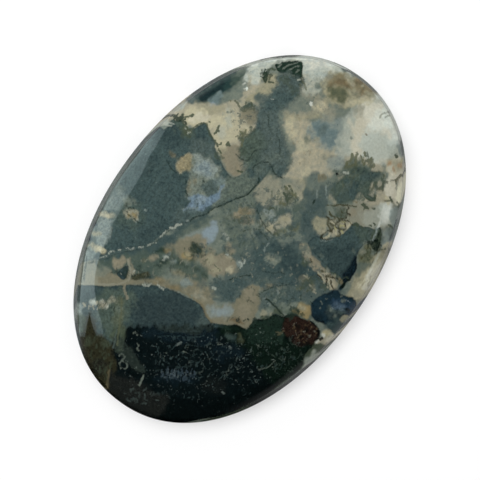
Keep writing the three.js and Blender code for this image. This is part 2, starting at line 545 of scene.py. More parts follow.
# The milky stone between the moss, laid on from the deepest haze up
GROUND = (
    # The top, under the rim
    Patch("chalk", "234,72 262,58 290,54 310,54 324,60 316,70 300,74 282,68 272,62 262,80 252,92 240,88", 4),
    Patch("milk", "300,57 326,56 346,66 354,78 338,77 308,85 301,72", 4),
    Patch("pearl", "306,56 328,57 334,65 318,70 306,66", 3, 0.7),
    Patch("milk", "244,70 256,62 268,58 276,60 262,74 254,86 246,84", 2.5, 0.9),
    # Painted light: this white band whitens the side along the top rim
    Patch("white", "248,54 264,48 300,46 334,52 340,62 334,66 318,61 300,59 280,60 264,63 252,67", 1, 0.8),
    Patch("oat", "250,74 262,76 262,90 252,100 238,101 245,90", 3),
    Patch("steel", "172,116 182,104 194,94 224,73 240,66 246,70 244,80 239,90 228,99 212,106 198,107 "
          "186,110", 3),
    Patch("teal", "196,101 200,94 207,86 223,74 233,69 241,69 244,74 240,82 224,94 204,102", 4),
    *dabs("storm", 3, 0.6, "206,95,7,4,40 218,88,6,4,30"),
    *dabs("fern", 4, 0.6, "237,79,6,6,20"),
    Patch("haze", "229,92 237,84 244,79 249,83 246,94 238,99 228,100 221,98", 3, 0.8),
    Patch("blue", "210,107 208,102 217,93 221,92 222,97 219,102 215,107", 1.8, 0.9),
    *dabs("sky", 1.5, 0.8, "212,104,2.5,2"),
    Patch("teal", "184,100 204,76 218,64 222,78 194,97 186,106"),
    Patch("sage", "233,62 240,58 250,58 249,70 241,75 235,71", 3, 0.9),
    Patch("milk", "158,122 163,112 174,103 184,97 188,104 180,112 169,122 163,124", 2, 0.8),
    # The cream windows left of the plume
    Patch("oat", "168,118 180,107 200,103 222,105 256,97 266,97 260,110 258,126 252,134 242,139 241,150 "
          "232,158 222,156 213,146 207,133 196,128 180,126", 3),
    Patch("straw", "198,104 212,106 224,106 222,115 208,114 200,112", 3, 0.7),
    Patch("cream", "184,111 196,108 206,112 204,120 226,113 228,122 220,128 198,127 188,124", 3),
    Patch("cream", "216,124 228,124 232,132 231,142 226,149 218,148 213,138", 3, 0.8),
    Patch("cream", "228,110 238,114 252,125 248,132 240,138 232,142 228,126", 4, 0.7),
    Patch("sand", "222,148 236,146 241,154 243,166 240,174 232,177 226,169 221,158", 2.5),
    Patch("straw", "263,74 278,74 279,84 272,92 252,103 247,98 262,86", 2.5),
    *dabs("chalk", 3, 0.6, "221,132,5,6 229,118,2,9"),
    *dabs("straw", 2, 0.6, "221,150,6,4,20"),
    *dabs("tan", 2, 0.5, "236,168,3,5 250,122,5,4"),
    *dabs("olive", 2, 0.4, "243,135,3,6"),
    *dabs("steel", 2, 0.9, "250,108,10,6 262,99,6,7 253,134,3,5"),
    *dabs("milk", 3, 0.9, "256,76,6,7"),
    *dabs("tan", 3, 0.9, "250,115,9,9"),
    *dabs("ivory", 3, 0.7, "199,118,9,5 174,111,8,3,45"),
    # Right of the plume
    Patch("drab", "296,80 318,82 328,104 340,112 334,122 318,118 300,118 288,112", 6),
    Patch("chalk", "304,78 318,76 322,84 316,92 308,94 302,88", 3, 0.8),
    Patch("haze", "288,98 298,96 308,97 314,100 314,107 306,113 296,115 288,110", 3, 0.9),
    Patch("oat", "284,118 304,114 316,126 326,144 348,150 352,158 340,164 324,168 308,176 300,190 282,192 "
          "282,176 294,160 290,138", 4),
    Patch("straw", "284,112 300,115 322,111 326,116 298,121 286,120", 2.5, 0.8),
    Patch("mist", "316,117 328,116 344,119 350,128 338,146 326,149 316,144 309,134 311,124", 3.5, 0.9),
    Patch("blue", "313,122 318,119 324,119 329,128 334,128 338,132 340,138 337,143 330,145 323,144 318,141 "
          "316,133 313,127", 1.8),
    Patch("haze", "332,102 358,106 357,116 346,121 330,112", 3.5, 0.7),
    Patch("drab", "326,154 346,154 352,162 344,172 330,172 322,164", 4, 0.9),
    *dabs("oat", 3, 0.8, "323,172,10,7 349,158,4,5 321,107,8,4 318,167,9,6 322,173,5,3"),
    *dabs("cream", 3, 0.6, "301,145,7,6,60 291,130,5,12 305,173,6,5 318,107,6,5"),
    *dabs("sage", 2, 0.7, "320,87,5,4 325,92,4,3 307,139,4,3 342,106,4,3"),
    *dabs("steel", 1.5, 0.4, "325,127,3,1.5 338,134,1.5,2 322,131,4,5"),
    *dabs("drab", 2, 0.8, "331,113,6,3,-15 316,140,3,3"),
    *dabs("chalk", 1.5, 0.7, "318,91,2,1.2 317,81,1.5,1.5 328,138,1.2,1.2"),
    *dabs("mist", 3, 0.7, "337,163,8,8"),
    # The bright shoulder on the right
    Patch("chalk", "340,126 352,112 358,100 372,92 386,98 396,116 405,142 404,160 390,166 376,166 "
          "342,150", 4),
    Patch("ivory", "350,124 358,112 362,98 374,94 386,100 396,116 404,140 402,156 386,162 370,162 354,156 "
          "346,142", 5),
    Patch("shell", "362,99 376,95 386,104 395,120 402,138 396,144 384,138 374,128 362,120", 4),
    Patch("milk", "364,132 380,132 400,144 394,156 378,162 364,158 360,144", 5, 0.9),
    Patch("chalk", "390,146 400,146 402,156 394,160 388,156", 2.5, 0.8),
    Patch("teal", "400,136 408,138 412,160 404,160 401,148", 1.2, 0.8),
    Patch("blue", "397,142 401,142 403,156 399,154", 1.5, 0.7),
    # Painted light: these two white patches brighten the upper right shoulder and the side along its rim
    Patch("white", "384,106 392,112 400,128 404,140 398,142 391,134 385,122", 2.5, 0.6),
    Patch("white", "374,82 390,94 404,114 412,140 404,146 399,130 391,115 382,102 372,92", 1, 0.9),
    *dabs("chalk", 2, 0.7, "347,134,6,8 377,101,4,3 342,151,9,5"),
    *dabs("white", 4, 0.5, "377,122,8,12,-30"),
    # Clumps of brown and green near the upper right rim
    Patch("straw", "322,80 330,72 342,69 352,75 362,76 374,88 376,97 360,103 340,106 326,102", 3.5),
    Patch("khaki", "329,85 331,78 336,73 341,73 353,86 350,89 333,88", 3, 0.75),
    Patch("olive", "329,91 335,86 343,87 348,92 347,98 341,101 335,100 330,97", 5, 0.8),
    Patch("khaki", "354,80 358,77 370,80 373,86 371,92 365,93 360,90 356,87", 2.5, 0.75),
    *dabs("tan", 2, 0.6, "357,94,6,3,-20"),
    *dabs("brown", 2, 0.6, "338,83,6,2.5,5 346,86,5,2,-25 362,92,2,3 360,81,4,1.5,-20 369,83,4,3,-45"),
    *dabs("moss", 2, 0.4, "337,94,5,3 344,94,2,4 331,92,2,3 341,101,4,2"),
    Patch("sage", "340,60 352,62 366,72 376,84 368,84 356,76 344,72"),
    *dabs("drab", 2, 0.8, "328,75,4,3"),
    *dabs("oat", 2, 0.6, "348,78,2.5,4,10 352,83,2,2 366,98,5,2.5,-20"),
    *dabs("cream", 3, 0.8, "352,102,6,4 365,100,8,4,-20"),
    *dabs("drab", 3, 0.7, "359,111,5,5 326,119,9,3"),
    # Right of the fan, and under it
    Patch("ivory", "382,158 390,160 400,156 406,172 405,200 396,210 386,204 384,190 388,174", 3),
    Patch("straw", "386,160 394,158 402,162 402,172 394,172 388,176 386,170", 2.5, 0.7),
    Patch("drab", "346,206 362,200 380,198 392,200 402,206 402,218 392,228 372,230 356,226 348,218", 4),
    Patch("blue", "392,222 402,214 400,232 394,248 386,256 384,246", 3),
    Patch("oat", "374,190 384,192 390,198 386,206 372,204 378,198", 2.5),
    Patch("chalk", "362,212 374,208 386,206 388,224 376,229 364,226", 3, 0.6),
    Patch("milk", "378,206 386,202 392,208 392,222 386,226 380,220", 3, 0.8),
    # Painted highlight: the pearl patch is the small pale gleam on the right shoulder, where a card also
    # shines
    Patch("pearl", "382,206 386,203 391,207 392,214 388,221 382,218", 5, 0.9),
    Patch("mist", "392,207 404,207 404,222 396,240 384,248 383,234 390,224", 2, 0.9),
    Patch("steel", "398,221 412,216 408,236 396,256 391,246", 1.5, 0.9),
    *dabs("cream", 1.5, 0.9, "388,200,3,5 388,245,4,3"),
    Patch("bone", "399,183 402,181 405,184 404,194 401,203 398,204 397,196", 1.3, 0.85),
    Patch("shell", "389,166 394,168 390,186 394,192 390,198 385,192 386,180", 2, 0.5),
    *dabs("rust", 1.3, 0.8, "389.5,163,2.2,3,10 400,166,3,3,-20 395,171,1,3,10"),
    *dabs("butter", 1.5, 0.7, "402,161,2,2.5"),
    *dabs("sand", 2, 0.8, "353,212,5,4 380,189,4,3"),
    *dabs("sage", 1.5, 0.7, "398,206,4,3 401,214,2,4 391,232,3,6,20"),
    # The fan's soft body
    Patch("sage", "332,176 344,164 356,160 366,166 376,170 384,176 384,186 374,190 372,202 356,205 340,206 "
          "330,198 328,186", 4),
    Patch("olive", "343,168 347,164 352,163 361,168 356,171 349,171", 2, 0.7),
    Patch("fern", "340,178 352,170 366,170 372,176 368,192 358,198 346,203 336,200 332,190", 3.5, 0.9),
    Patch("drab", "357,193 361,191 365,197 371,202 366,206 356,206 353,203", 1.5),
    *dabs("sage", 2, 0.7, "341,184,4,7 330,187,3,6"),
    *dabs("drab", 2, 0.9, "341,178,5,5 343,209,9,4"),
    *dabs("oat", 2, 0.9, "379,170,7,4 374,200,6,4,-10"),
    *dabs("oat", 1.5, 0.8, "379,184,3.5,4 372,190,3,5 366,163,4,3 366,197,3,3 378,196,4,4 384,176,2,2 "
          "377,167,4,3"),
    # The slate of the middle, between the plume and the fan
    Patch("steel", "302,184 312,174 328,178 332,190 326,204 328,214 322,220 326,236 312,246 300,240 292,224 "
          "294,206", 4),
    Patch("haze", "306,178 332,178 330,184 318,188 306,186", 4, 0.8),
    Patch("straw", "313,221 317,218 322,217 326,219 328,226 326,231 321,235 316,233 312,228", 2, 0.9),
    Patch("drab", "326,216 336,219 350,218 353,224 348,231 342,236 334,236 328,230", 1.8, 0.9),
    Patch("haze", "328,207 336,206 338,212 336,218 330,219 326,213", 1.8),
    Patch("fern", "337,207 345,207 347,213 345,219 338,220 336,213", 1.5, 0.6),
    *dabs("straw", 3, 0.8, "300,186,5,8"),
    *dabs("slate", 4, 0.6, "317,205,8,7 306,222,8,8"),
    *dabs("khaki", 1.5, 0.6, "322,178,3.5,3.5"),
    *dabs("drab", 1.5, 0.9, "331,198,2,5,25 334,203,2,2"),
    *dabs("sage", 3, 0.6, "302,202,5,8"),
    *dabs("oat", 2, 0.7, "321,231,5,2 348,225,3,3 335,232,2,2"),
    # The grey green middle
    Patch("sage", "222,184 252,178 262,166 276,168 278,180 262,190 256,204 236,214 220,208", 5),
    Patch("drab", "255,181 262,177 270,175 282,178 300,180 302,192 299,202 288,208 264,206 257,202 "
          "253,194", 3),
    *dabs("cream", 3, 0.6, "291,192,6,5 281,196,6,5 297,201,3,5 283,210,3,2"),
    *dabs("haze", 2, 0.6, "286,180,8,4"),
    *dabs("haze", 3, 0.7, "244,203,9,5,15 278,210,6,4 296,232,6,5"),
    *dabs("sand", 2, 0.9, "247,211,9,5 237,216,6,6 249,220,6,4 231,223,7,4,20"),
    *dabs("khaki", 1.5, 0.6, "243,211,5,1.5,-10 248,214,4,1.5,15 239,219,2,3 246,222,3,1.5"),
    *dabs("fern", 1.5, 0.7, "238,225,4,3 247,228,5,3,20 232,215,2,4 252,214,2,5 241,220,3,1.5"),
    *dabs("mist", 2, 0.8, "268,213,7,5 272,219,5,3"),
    *dabs("slate", 2, 0.9, "258,212,3,9,-8 263,236,10,4,-25"),
    Patch("fern", "277,198 279,193 283,192 284,187 288,190 291,186 294,190 298,189 297,193 290,200 292,205 "
          "288,208 283,206 279,207 276,203 280,201", 1.5, 0.35),
    Patch("steel", "279,209 285,207 291,209 294,214 290,219 284,218 279,214"),
    *dabs("sage", 2, 0.8, "296,206,4,8 297,220,4,7 276,212,3,5"),
    Patch("oat", "261,220 272,222 283,216 290,214 294,219 291,225 286,228 281,227 277,229 274,234 "
          "265,227", 1.5, 0.75),
    *dabs("straw", 2, 0.8, "270,227,4,4 286,220,5,3,15"),
    *dabs("olive", 1.5, 0.7, "283,231,5,2 292,229,4,2,-20 277,234,3,2 288,236,6,2 298,226,2,3 "
          "279,223,2,1.5"),
    *dabs("haze", 2, 0.7, "266,236,5,2 300,236,4,5"),
    # The slate below it, crossed by a ragged vein
    Patch("steel", "222,244 244,234 262,236 284,242 304,240 320,246 336,262 346,280 338,300 316,306 298,300 "
          "276,296 234,276", 5),
    Patch("slate", "256,246 282,244 300,250 318,250 340,258 342,276 322,280 306,284 284,282 262,276 "
          "250,264", 4, 0.9),
    *dabs("deep", 4, 0.9, "290,262,12,10 282,248,12,5,-15 300,272,8,7"),
    Patch("haze", "264,259 268,255 274,255 281,258 278,262 270,264", 1.5),
    *dabs("drab", 1.5, 0.6, "271,258,4,2"),
    *dabs("sage", 3, 0.7, "250,244,8,6 240,252,6,8 262,282,10,4"),
    *dabs("steel", 3, 0.8, "249,260,6,8"),
    Patch("sand", "299,246 303,243 308,247 311,254 322,264 333,277 337,284 335,290 309,265 301,252", 1.5),
    *dabs("drab", 1.5, 0.9, "304,249,4,4 308,255,3,3 319,267,4,2,-45"),
    *dabs("oat", 1.5, 0.9, "330,280,5,3,-45 334,286,2.5,3 325,273,3,2,-45"),
    *dabs("khaki", 2, 0.9, "341,280,5,4,30"),
    *dabs("olive", 2, 0.8, "338,275,3,2 312,262,2,1.5 305,262,2,2"),
    *dabs("tan", 2, 0.5, "303,281,5,4,20 312,288,4,3 306,292,3,2 268,286,9,3,10"),
    *dabs("olive", 1.5, 0.7, "308,280,2,4,20 300,288,3,2 314,282,2,3"),
    *dabs("steel", 4, 0.6, "322,256,8,5"),
    # Left of the middle, under the fracture
    Patch("slate", "60,250 150,240 178,226 206,214 214,222 200,232 184,240 166,252 160,266 150,284 "
          "60,286", 4),
    Patch("sage", "180,232 206,220 224,216 240,224 244,236 236,250 214,258 176,246", 4),
    Patch("haze", "180,240 192,230 206,224 216,218 226,228 226,240 230,248 214,251 198,244 186,246", 3, 0.9),
    *dabs("mist", 2, 0.7, "193,234,13,3,22 204,241,4,4"),
    Patch("sky", "202,240 204,233 213,222 215,225 216,232 210,245 205,244", 2.5),
    *dabs("chalk", 2, 0.7, "226,237,3,2.5"),
    *dabs("sand", 2, 0.8, "229,248,5,6 210,249,4,3"),
    Patch("tan", "164,250 176,242 190,236 206,238 208,248 204,260 190,262", 3, 0.9),
    *dabs("sand", 2, 0.8, "182,248,6,5 192,238,8,2,15 204,245,3,5"),
    *dabs("tan", 2, 0.8, "183,247,6,5,30"),
    *dabs("amber", 1.5, 0.9, "187,255,5,4,-20"),
    *dabs("straw", 1.5, 0.6, "188,254,3,3"),
    *dabs("moss", 2, 0.8, "195,250,5,5 201,254,3,4 192,261,5,2 178,261,6,2"),
    *dabs("ink", 1.5, 0.6, "194,247,2,4,30 199,252,2,3 196,257,3,1.5"),
    Patch("sand", "200,258 205,254 228,257 234,262 237,267 235,273 227,276 212,275 205,271 "
          "201,265", 2, 0.95),
    *dabs("straw", 2, 0.8, "210,260,5,4 216,270,6,2.5"),
    *dabs("cream", 1.5, 0.6, "229,258,3,2 231,270,4,3"),
    *dabs("mist", 1.3, 0.8, "240,264,2,4,20"),
    Patch("fern", "172,262 204,266 210,278 198,284 174,270", 3, 0.9),
    *dabs("pine", 1.5, 0.6, "186,266,5,1.5,-20 196,270,4,1.5 204,274,4,1.5,-30 178,263,4,1.5"),
    *dabs("tan", 2, 0.8, "177,273,9,3,-15 193,276,5,2,-20 204,281,4,2"),
    # Above the level vein at the left
    Patch("fern", "100,262 120,256 168,248 176,256 172,268 150,278 120,278 100,272", 4, 0.8),
    Patch("sand", "112,262 115,258 122,256 127,260 126,265 120,269 113,270", 1.5, 0.9),
    Patch("sand", "128,260 130,260 133,272 130,277 129,284 124,284 129,268", 1.3, 0.8),
    *dabs("sand", 1.5, 0.8, "153,258,6,3,20"),
    *dabs("khaki", 1.5, 0.8, "144,262,3,1.5 168,251,4,2"),
    *dabs("fern", 3, 0.6, "143,262,7,4 164,273,8,4 161,262,5,3"),
    *dabs("pine", 1.5, 0.8, "160,251,5,2.5,20 164,262,5,1.5 139,266,4,1.5 158,266,4,1.5"),
    *dabs("mist", 1.5, 0.8, "166,258,2,3.5,-30 169,254,1.5,2,-30 172,262,2,1"),
    # The level vein and the tan ground that it runs into
    Patch("tan", "94,272 108,270 122,278 128,284 118,288 84,286 84,276", 3),
    Patch("drab", "70,264 84,258 96,260 98,272 96,284 74,286", 3, 0.8),
    Patch("tan", "122,278 146,280 164,279 184,276 200,282 214,290 214,304 204,308 196,298 184,292 166,287 "
          "146,285 124,286", 2.5),
    *dabs("haze", 3, 0.6, "102,271,7,4"),
    *dabs("haze", 3, 0.8, "180,282,12,5,-10"),
    *dabs("mist", 2, 0.8, "187,283,6,3.5,-5"),
    *dabs("drab", 3, 0.8, "200,296,9,5,-30"),
    *dabs("khaki", 2, 0.8, "174,288,6,3,-15"),
    *dabs("khaki", 2, 0.6, "155,281,9,3"),
    *dabs("steel", 3, 0.6, "203,284,6,5"),
    # Pools above the dark foot
    Patch("steel", "212,282 236,272 250,280 250,296 236,304 216,300 210,290", 4),
    *dabs("slate", 3, 0.7, "238,284,9,5 228,293,7,4"),
    Patch("tan", "198,298 208,302 220,304 236,304 238,318 228,326 212,324 205,314", 2.5),
    *dabs("mist", 5, 0.8, "221,311,12,7"),
    *dabs("sky", 4, 0.5, "222,312,8,5"),
    Patch("tan", "235,304 249,287 256,285 259,289 260,306 252,323 246,329 232,327 230,318 234,312", 1.5),
    *dabs("sand", 3, 0.7, "245,311,7,7,20 252,296,5,8"),
    *dabs("tan", 2, 0.7, "267,287,8,3,20"),
    *dabs("brown", 1.5, 0.8, "238,321,9,2,-10"),
    Patch("sage", "262,292 276,287 290,292 292,304 284,312 270,312 260,304", 3, 0.9),
    *dabs("steel", 3, 0.8, "292,298,10,6 265,300,5,8"),
    *dabs("haze", 1.3, 0.8, "276,291,3,2.5 276,300,2.5,2.5 270,304,1.8,1.8 284,304,3,4"),
    *dabs("steel", 2, 0.7, "262,307,4,6"),
    *dabs("straw", 1.5, 0.7, "263,314,3,3 270,314,3,2,30"),
    *dabs("moss", 2, 0.9, "277,313,5,4 266,318,6,2"),
    Patch("fern", "286,312 294,306 304,302 314,306 315,318 304,320 294,318", 2, 0.8),
    Patch("amber", "293,312 297,306 303,303 307,304 310,309 310,314 306,317 299,316", 2, 0.95),
    *dabs("straw", 2, 0.8, "301,308,5,3"),
    *dabs("pine", 1.5, 0.8, "298,311,1.5,2 293,317,4,2"),
    # Lower right, beside the foot
    Patch("deep", "326,322 338,314 346,316 342,326 334,336 328,332", 2.5),
    Patch("oat", "321,334 325,330 330,332 336,338 334,345 326,350 318,350 314,345 317,338 321,337", 1.8),
    *dabs("ivory", 2, 0.9, "330,339,4,5"),
    *dabs("butter", 2, 0.5, "327,334,4,3"),
    Patch("straw", "346,298 347,290 357,272 366,262 386,246 396,240 388,262 378,280 358,306 350,304"),
    Patch("cream", "352,292 362,276 384,258 384,266 374,284 364,298 356,302", 3),
    Patch("shell", "362,282 380,262 384,264 374,282 366,290", 2.5, 0.8),
    Patch("olive", "357,262 358,254 362,249 367,245 372,248 372,258 366,264 360,267", 2, 0.8),
    Patch("sage", "357,264 368,262 370,266 362,274 355,278", 2, 0.9),
    # A lighter band along the lower right rim
    Patch("moss", "210,428 226,410 268,388 284,374 294,362 300,350 322,342 330,356 300,390 262,420", 1.5),
    Patch("fern", "276,392 296,370 304,358 330,356 300,390 280,404", 4, 0.9),
    Patch("chalk", "302,372 304,362 309,356 316,352 330,354 312,376", 2.5, 0.8),
    *dabs("pearl", 1.3, 0.9, "318,341,2.5,2,40 322,335,2,2"),
    *dabs("tan", 2, 0.8, "325,349,5,2,40"),
    *dabs("straw", 1.5, 0.9, "345,317,3,6,-30"),
    *dabs("drab", 2, 0.6, "363,252,3,3,40 356,294,3,6,30"),
    *dabs("tan", 1.5, 0.6, "381,251,3,3 383,262,2,2 357,274,1.5,1.5 371,288,2,6,30 361,301,2,2"),
    *dabs("haze", 2, 0.6, "348,286,4,3,30"),
)

# The colours of the moss, wherever a sheet lies
MOSS = (
    # The great sheet on the left
    Patch("deep", "158,122 176,124 204,132 206,142 190,146 152,142", 5, 0.8),
    Patch("fern", "170,118 186,118 196,130 192,140 180,136", 4, 0.7),
    Patch("steel", "188,146 208,140 220,150 222,164 210,158 196,156", 5, 0.8),
    Patch("sage", "226,176 244,172 256,182 252,192 238,200 222,206 212,208 208,200 220,190", 5),
    Patch("fern", "234,140 246,132 262,130 270,140 262,156 250,164 238,162 234,150", 5),
    Patch("fern", "116,206 134,200 144,214 140,226 124,230 114,220", 4, 0.5),
    Patch("steel", "180,206 206,208 206,216 190,224 174,228 172,216", 5, 0.5),
    *dabs("olive", 2, 0.6, "188,132,6,4,-20"),
    *dabs("steel", 4, 0.6, "220,192,8,8"),
    *dabs("moss", 3, 0.4, "241,150,5,6"),
    *dabs("moss", 4, 0.4, "262,142,6,8"),
    *dabs("haze", 3, 0.6, "241,166,4,8"),
    *dabs("sage", 4, 0.6, "262,170,8,6"),
    *dabs("sage", 2, 0.8, "120,190,4,4"),
    *dabs("haze", 3, 0.8, "129,203,6,5,20"),
    Patch("drab", "123,211 128,208 134,210 138,214 139,219 135,221 130,219 126,216", 1.6, 0.9),
    *dabs("amber", 1.5, 0.9, "133,216,4,3,-30"),
    *dabs("chalk", 1.3, 0.8, "137.5,221,2.5,1.2"),
    *dabs("khaki", 1.5, 0.5, "173,154,4,1.5,-35"),
    *dabs("deep", 5, 0.6, "148,166,12,9,50 150,232,14,6,25 163,226,6,4"),
    Patch("deep", "112,268 130,262 130,282 112,282", 1),
    Patch("loam", "130,270 153,270 153,282 130,282", 1, 0.8),
    *dabs("navy", 1.5, 0.6, "122,274,4,3,40"),
    # The milky ring in it
    Patch("haze", "184,158 196,153 206,156 222,174 226,184 224,194 214,202 202,204 192,202 186,192 186,180 "
          "190,170", 4),
    Patch("drab", "176,167 178,162 184,155 189,154 193,156 182,173", 1.6),
    *dabs("amber", 3, 0.6, "185,163,7,9,-35"),
    *dabs("mist", 2, 0.8, "198,157,7,2.5,-10"),
    Patch("mist", "196,160 204,158 212,164 216,172 212,179 202,178 194,174 193,166", 2.5),
    *dabs("lilac", 3, 0.35, "204,168,7,6"),
    *dabs("tan", 2, 0.7, "189,186,2.5,8 194,181,3,3"),
    Patch("steel", "203,183 212,180 219,186 217,194 210,198 203,194", 2.5),
    *dabs("blue", 3, 0.7, "219,181,5,5 192,210,8,2.5,10"),
    Patch("lilac", "190,197 196,192 207,199 213,196 219,190 222,185 222,193 215,201 208,206 201,209 193,208 "
          "184,211 182,209 190,204", 1.8),
    *dabs("sky", 2, 0.7, "200,201,4,3,10"),
    *dabs("steel", 1.5, 0.6, "197,205,1.5,3 203,203,1.5,2"),
    # Cream bars along the rim under the sheen. The haze and mist patches lighten the sheen band over them:
    # painted sheen.
    Patch("haze", "68,262 92,204 142,124 154,130 126,170 106,212 92,246 88,268", 1.5, 0.4),
    Patch("mist", "102,219 113,221 109,238 104,247 96,241", 2, 0.75),
    Patch("mist", "105,204 117,190 125,196 117,211 105,212", 2.5, 0.45),
    Patch("mist", "70,258 80,244 94,250 92,264 84,268 72,270", 2, 0.5),
    *dabs("straw", 2, 0.8, "106,214,9,2.6,-14 96,233,5,1.8,-10 96,248,11,3.2,-18"),
    *dabs("cream", 2, 0.7, "104,215,6,1.5,-12 99,249,7,1.8,-16"),
    *dabs("navy", 1.5, 0.9, "94,224,2.5,5,60 89,238,2.5,4,20"),
    *dabs("ink", 1.3, 0.9, "85,250,4,2,20"),
    # The plume and its cap
    Patch("steel", "262,96 276,84 300,86 300,104 288,112 284,120 290,156 284,170 272,166 260,150 "
          "256,112", 5),
    Patch("slate", "272,92 288,82 298,88 294,102 268,112 262,104", 5, 0.8),
    Patch("pine", "272,62 283,59 303,60 305,80 296,81 290,75 274,72", 1.5),
    Patch("moss", "260,68 270,68 270,84 261,84"),
    Patch("steel", "274,75 292,74 299,80 296,90 282,92 274,84", 4, 0.8),
    *dabs("fern", 5, 0.6, "260,141,8,12"),
    *dabs("sage", 4, 0.6, "286,116,6,8,20 292,164,6,7"),
    *dabs("sage", 5, 0.4, "274,158,10,6"),
    *dabs("olive", 2, 0.8, "264,93,4,3,20"),
    # The fan's leaves and fingers, and the filigree under it
    Patch("fern", "328,168 366,166 392,170 392,196 366,206 326,208 324,190", 3),
    Patch("slate", "346,178 354,182 358,190 352,200 340,202 336,196 346,192", 2.5, 0.8),
    Patch("slate", "364,172 380,172 384,178 370,180 362,184 360,176", 2, 0.7),
    *dabs("deep", 1.5, 0.5, "355,185,3,3 351,191,2,1.5 357,169,2,3"),
    *dabs("sage", 1.5, 0.6, "347,186,3,2 362,186,1.5,3 352,175,7,1.2 344,191,2,2"),
    # The slate sheet at the right and its spikes
    Patch("deep", "318,250 336,246 352,246 358,256 350,270 340,276 326,266", 5, 0.9),
    Patch("fern", "356,225 378,229 374,240 366,246 360,240", 3, 0.7),
    *dabs("steel", 2, 0.6, "371,234,2,6,20 361,246,4,3 328,272,2,3"),
    *dabs("sage", 1.5, 0.7, "322,256,2,2.5 354,251,2,1.5"),
    *dabs("haze", 2, 0.8, "368,244,4,4,-15"),
    Patch("moss", "377,226 386,226 386,250 378,257 371,252 369,246", 1.3, 0.9),
    *dabs("fir", 1.5, 0.9, "380,229,3,3 378,235,2,3,-15 375,242,2,2 376,249,3,1.5"),
    *dabs("sage", 1.3, 0.8, "376.5,248,1.6,1.6"),
    Patch("storm", "356,256 361,262 348,290 336,294 342,276"),
    *dabs("navy", 1.5, 0.6, "353,269,2,4,-20"),
    *dabs("fir", 1.5, 0.9, "342,286,3,4,-30"),
    Patch("navy", "306,298 334,288 362,298 358,318 330,324 312,326 306,312"),
    Patch("indigo", "330,302 340,301 350,302 356,306 353,310 344,311 333,308", 3, 0.9),
    Patch("dusk", "326,307 331,306 337,309 343,314 346,322 334,322 328,316"),
    *dabs("steel", 2, 0.6, "334,310,6,2,-45 342,311,4,3"),
    *dabs("lilac", 2, 0.4, "340,306,8,3"),
    *dabs("haze", 1.5, 0.7, "332,309,2.5,1.5 344,301,2,1.5"),
    *dabs("storm", 1.5, 0.7, "348,309,2.5,1.5,30 319,318,6,4 331,294,4,2"),
    # The lower sheet, at the left
    Patch("deep", "60,286 124,284 160,286 186,296 204,310 214,334 60,334", 3),
    Patch("dusk", "134,296 176,294 196,302 204,318 196,324 150,330 134,328", 5, 0.8),
    Patch("fern", "100,290 130,288 134,306 130,322 112,332 98,326 96,306", 5, 0.8),
    Patch("olive", "114,300 124,298 126,324 122,350 116,350 114,326", 3, 0.45),
    *dabs("milk", 1.5, 0.8, "93,303,4,3.5 103,301,2,1.5 106,306,1.5,2"),
    Patch("mist", "68,304 80,304 84,309 80,316 76,320 68,318", 1.8, 0.8),
    Patch("umber", "84,318 90,312 96,322 97,336 84,338 80,330", 2.5),
    Patch("moss", "74,316 84,314 84,336 76,340", 2.5, 0.8),
    *dabs("steel", 4, 0.6, "206,320,10,5"),
    *dabs("drab", 2, 0.8, "112,300,4,3.5,-20"),
    *dabs("sand", 2, 0.6, "103,304,4,3,-10"),
    *dabs("sage", 2, 0.6, "119,309,5,4"),
    # The dark foot
    Patch("night", "108,352 118,342 125,329 133,325 160,328 215,328 262,316 322,320 322,350 300,384 230,432 "
          "110,432"),
    Patch("storm", "150,328 214,328 218,336 204,344 152,338", 4, 0.8),
    Patch("smoke", "160,326 212,326 208,331 192,334 166,332", 2.5, 0.6),
    Patch("fir", "216,326 250,320 284,318 296,340 320,346 300,376 276,388 262,370 240,346 224,338", 5),
    Patch("pine", "250,320 276,318 280,330 270,344 254,342 246,330", 4, 0.5),
    *dabs("pine", 3, 0.7, "279,337,5,6 226,326,8,3"),
    *dabs("slate", 2, 0.5, "230,336,5,3,-20"),
    *dabs("fern", 1.5, 0.5, "230,336,3,1.5 228,333,2,1.5"),
    *dabs("olive", 2, 0.4, "241,338,3,4"),
    *dabs("storm", 5, 0.7, "178,379,20,6 228,352,16,8"),
    *dabs("bark", 5, 0.4, "214,386,12,8"),
    Patch("garnet", "284,321 289,316 296,317 306,319 314,323 320,331 319,338 313,343 302,345 292,341 "
          "285,333", 1.5),
    *dabs("pitch", 1.5, 0.7, "290,338,5,3 304,343,6,1.5 296,327,3,2 318,334,2,5 287,315,5,2 307,330,2,2 "
          "300,336,3,1.5"),
    Patch("pitch", "150,402 230,394 262,384 290,380 262,412 220,430 160,430", 5, 0.8),
    *dabs("pitch", 3, 0.6, "133,372,7,4,-30 128,345,4,5"),
    # Brown and green down the left rim, and the sheen's lower tongue in painted reflection
    Patch("umber", "74,338 84,332 100,334 108,344 114,354 116,376 126,398 120,412 100,396 80,372", 3),
    *dabs("moss", 3, 0.5, "88,342,6,5 104,345,4,3"),
    *dabs("bark", 4, 0.6, "98,366,7,8 113,388,3,8"),
    *dabs("khaki", 1.5, 0.7, "109,380,1.6,9,-5"),
    Patch("bark", "112,374 150,388 166,396 162,416 130,412 116,398", 4),
    Patch("fern", "100,326 116,326 122,338 120,348 106,335", 3, 0.9),
    Patch("moss", "112,330 124,326 126,340 122,352 116,346", 2.5, 0.8),
    # Painted reflection: the grey-green tongue at the lower end of the left sheen
    Patch("smoke", "112,342 122,338 143,368 143,373 137,372 129,364 121,355", 1.5, 0.7),
)

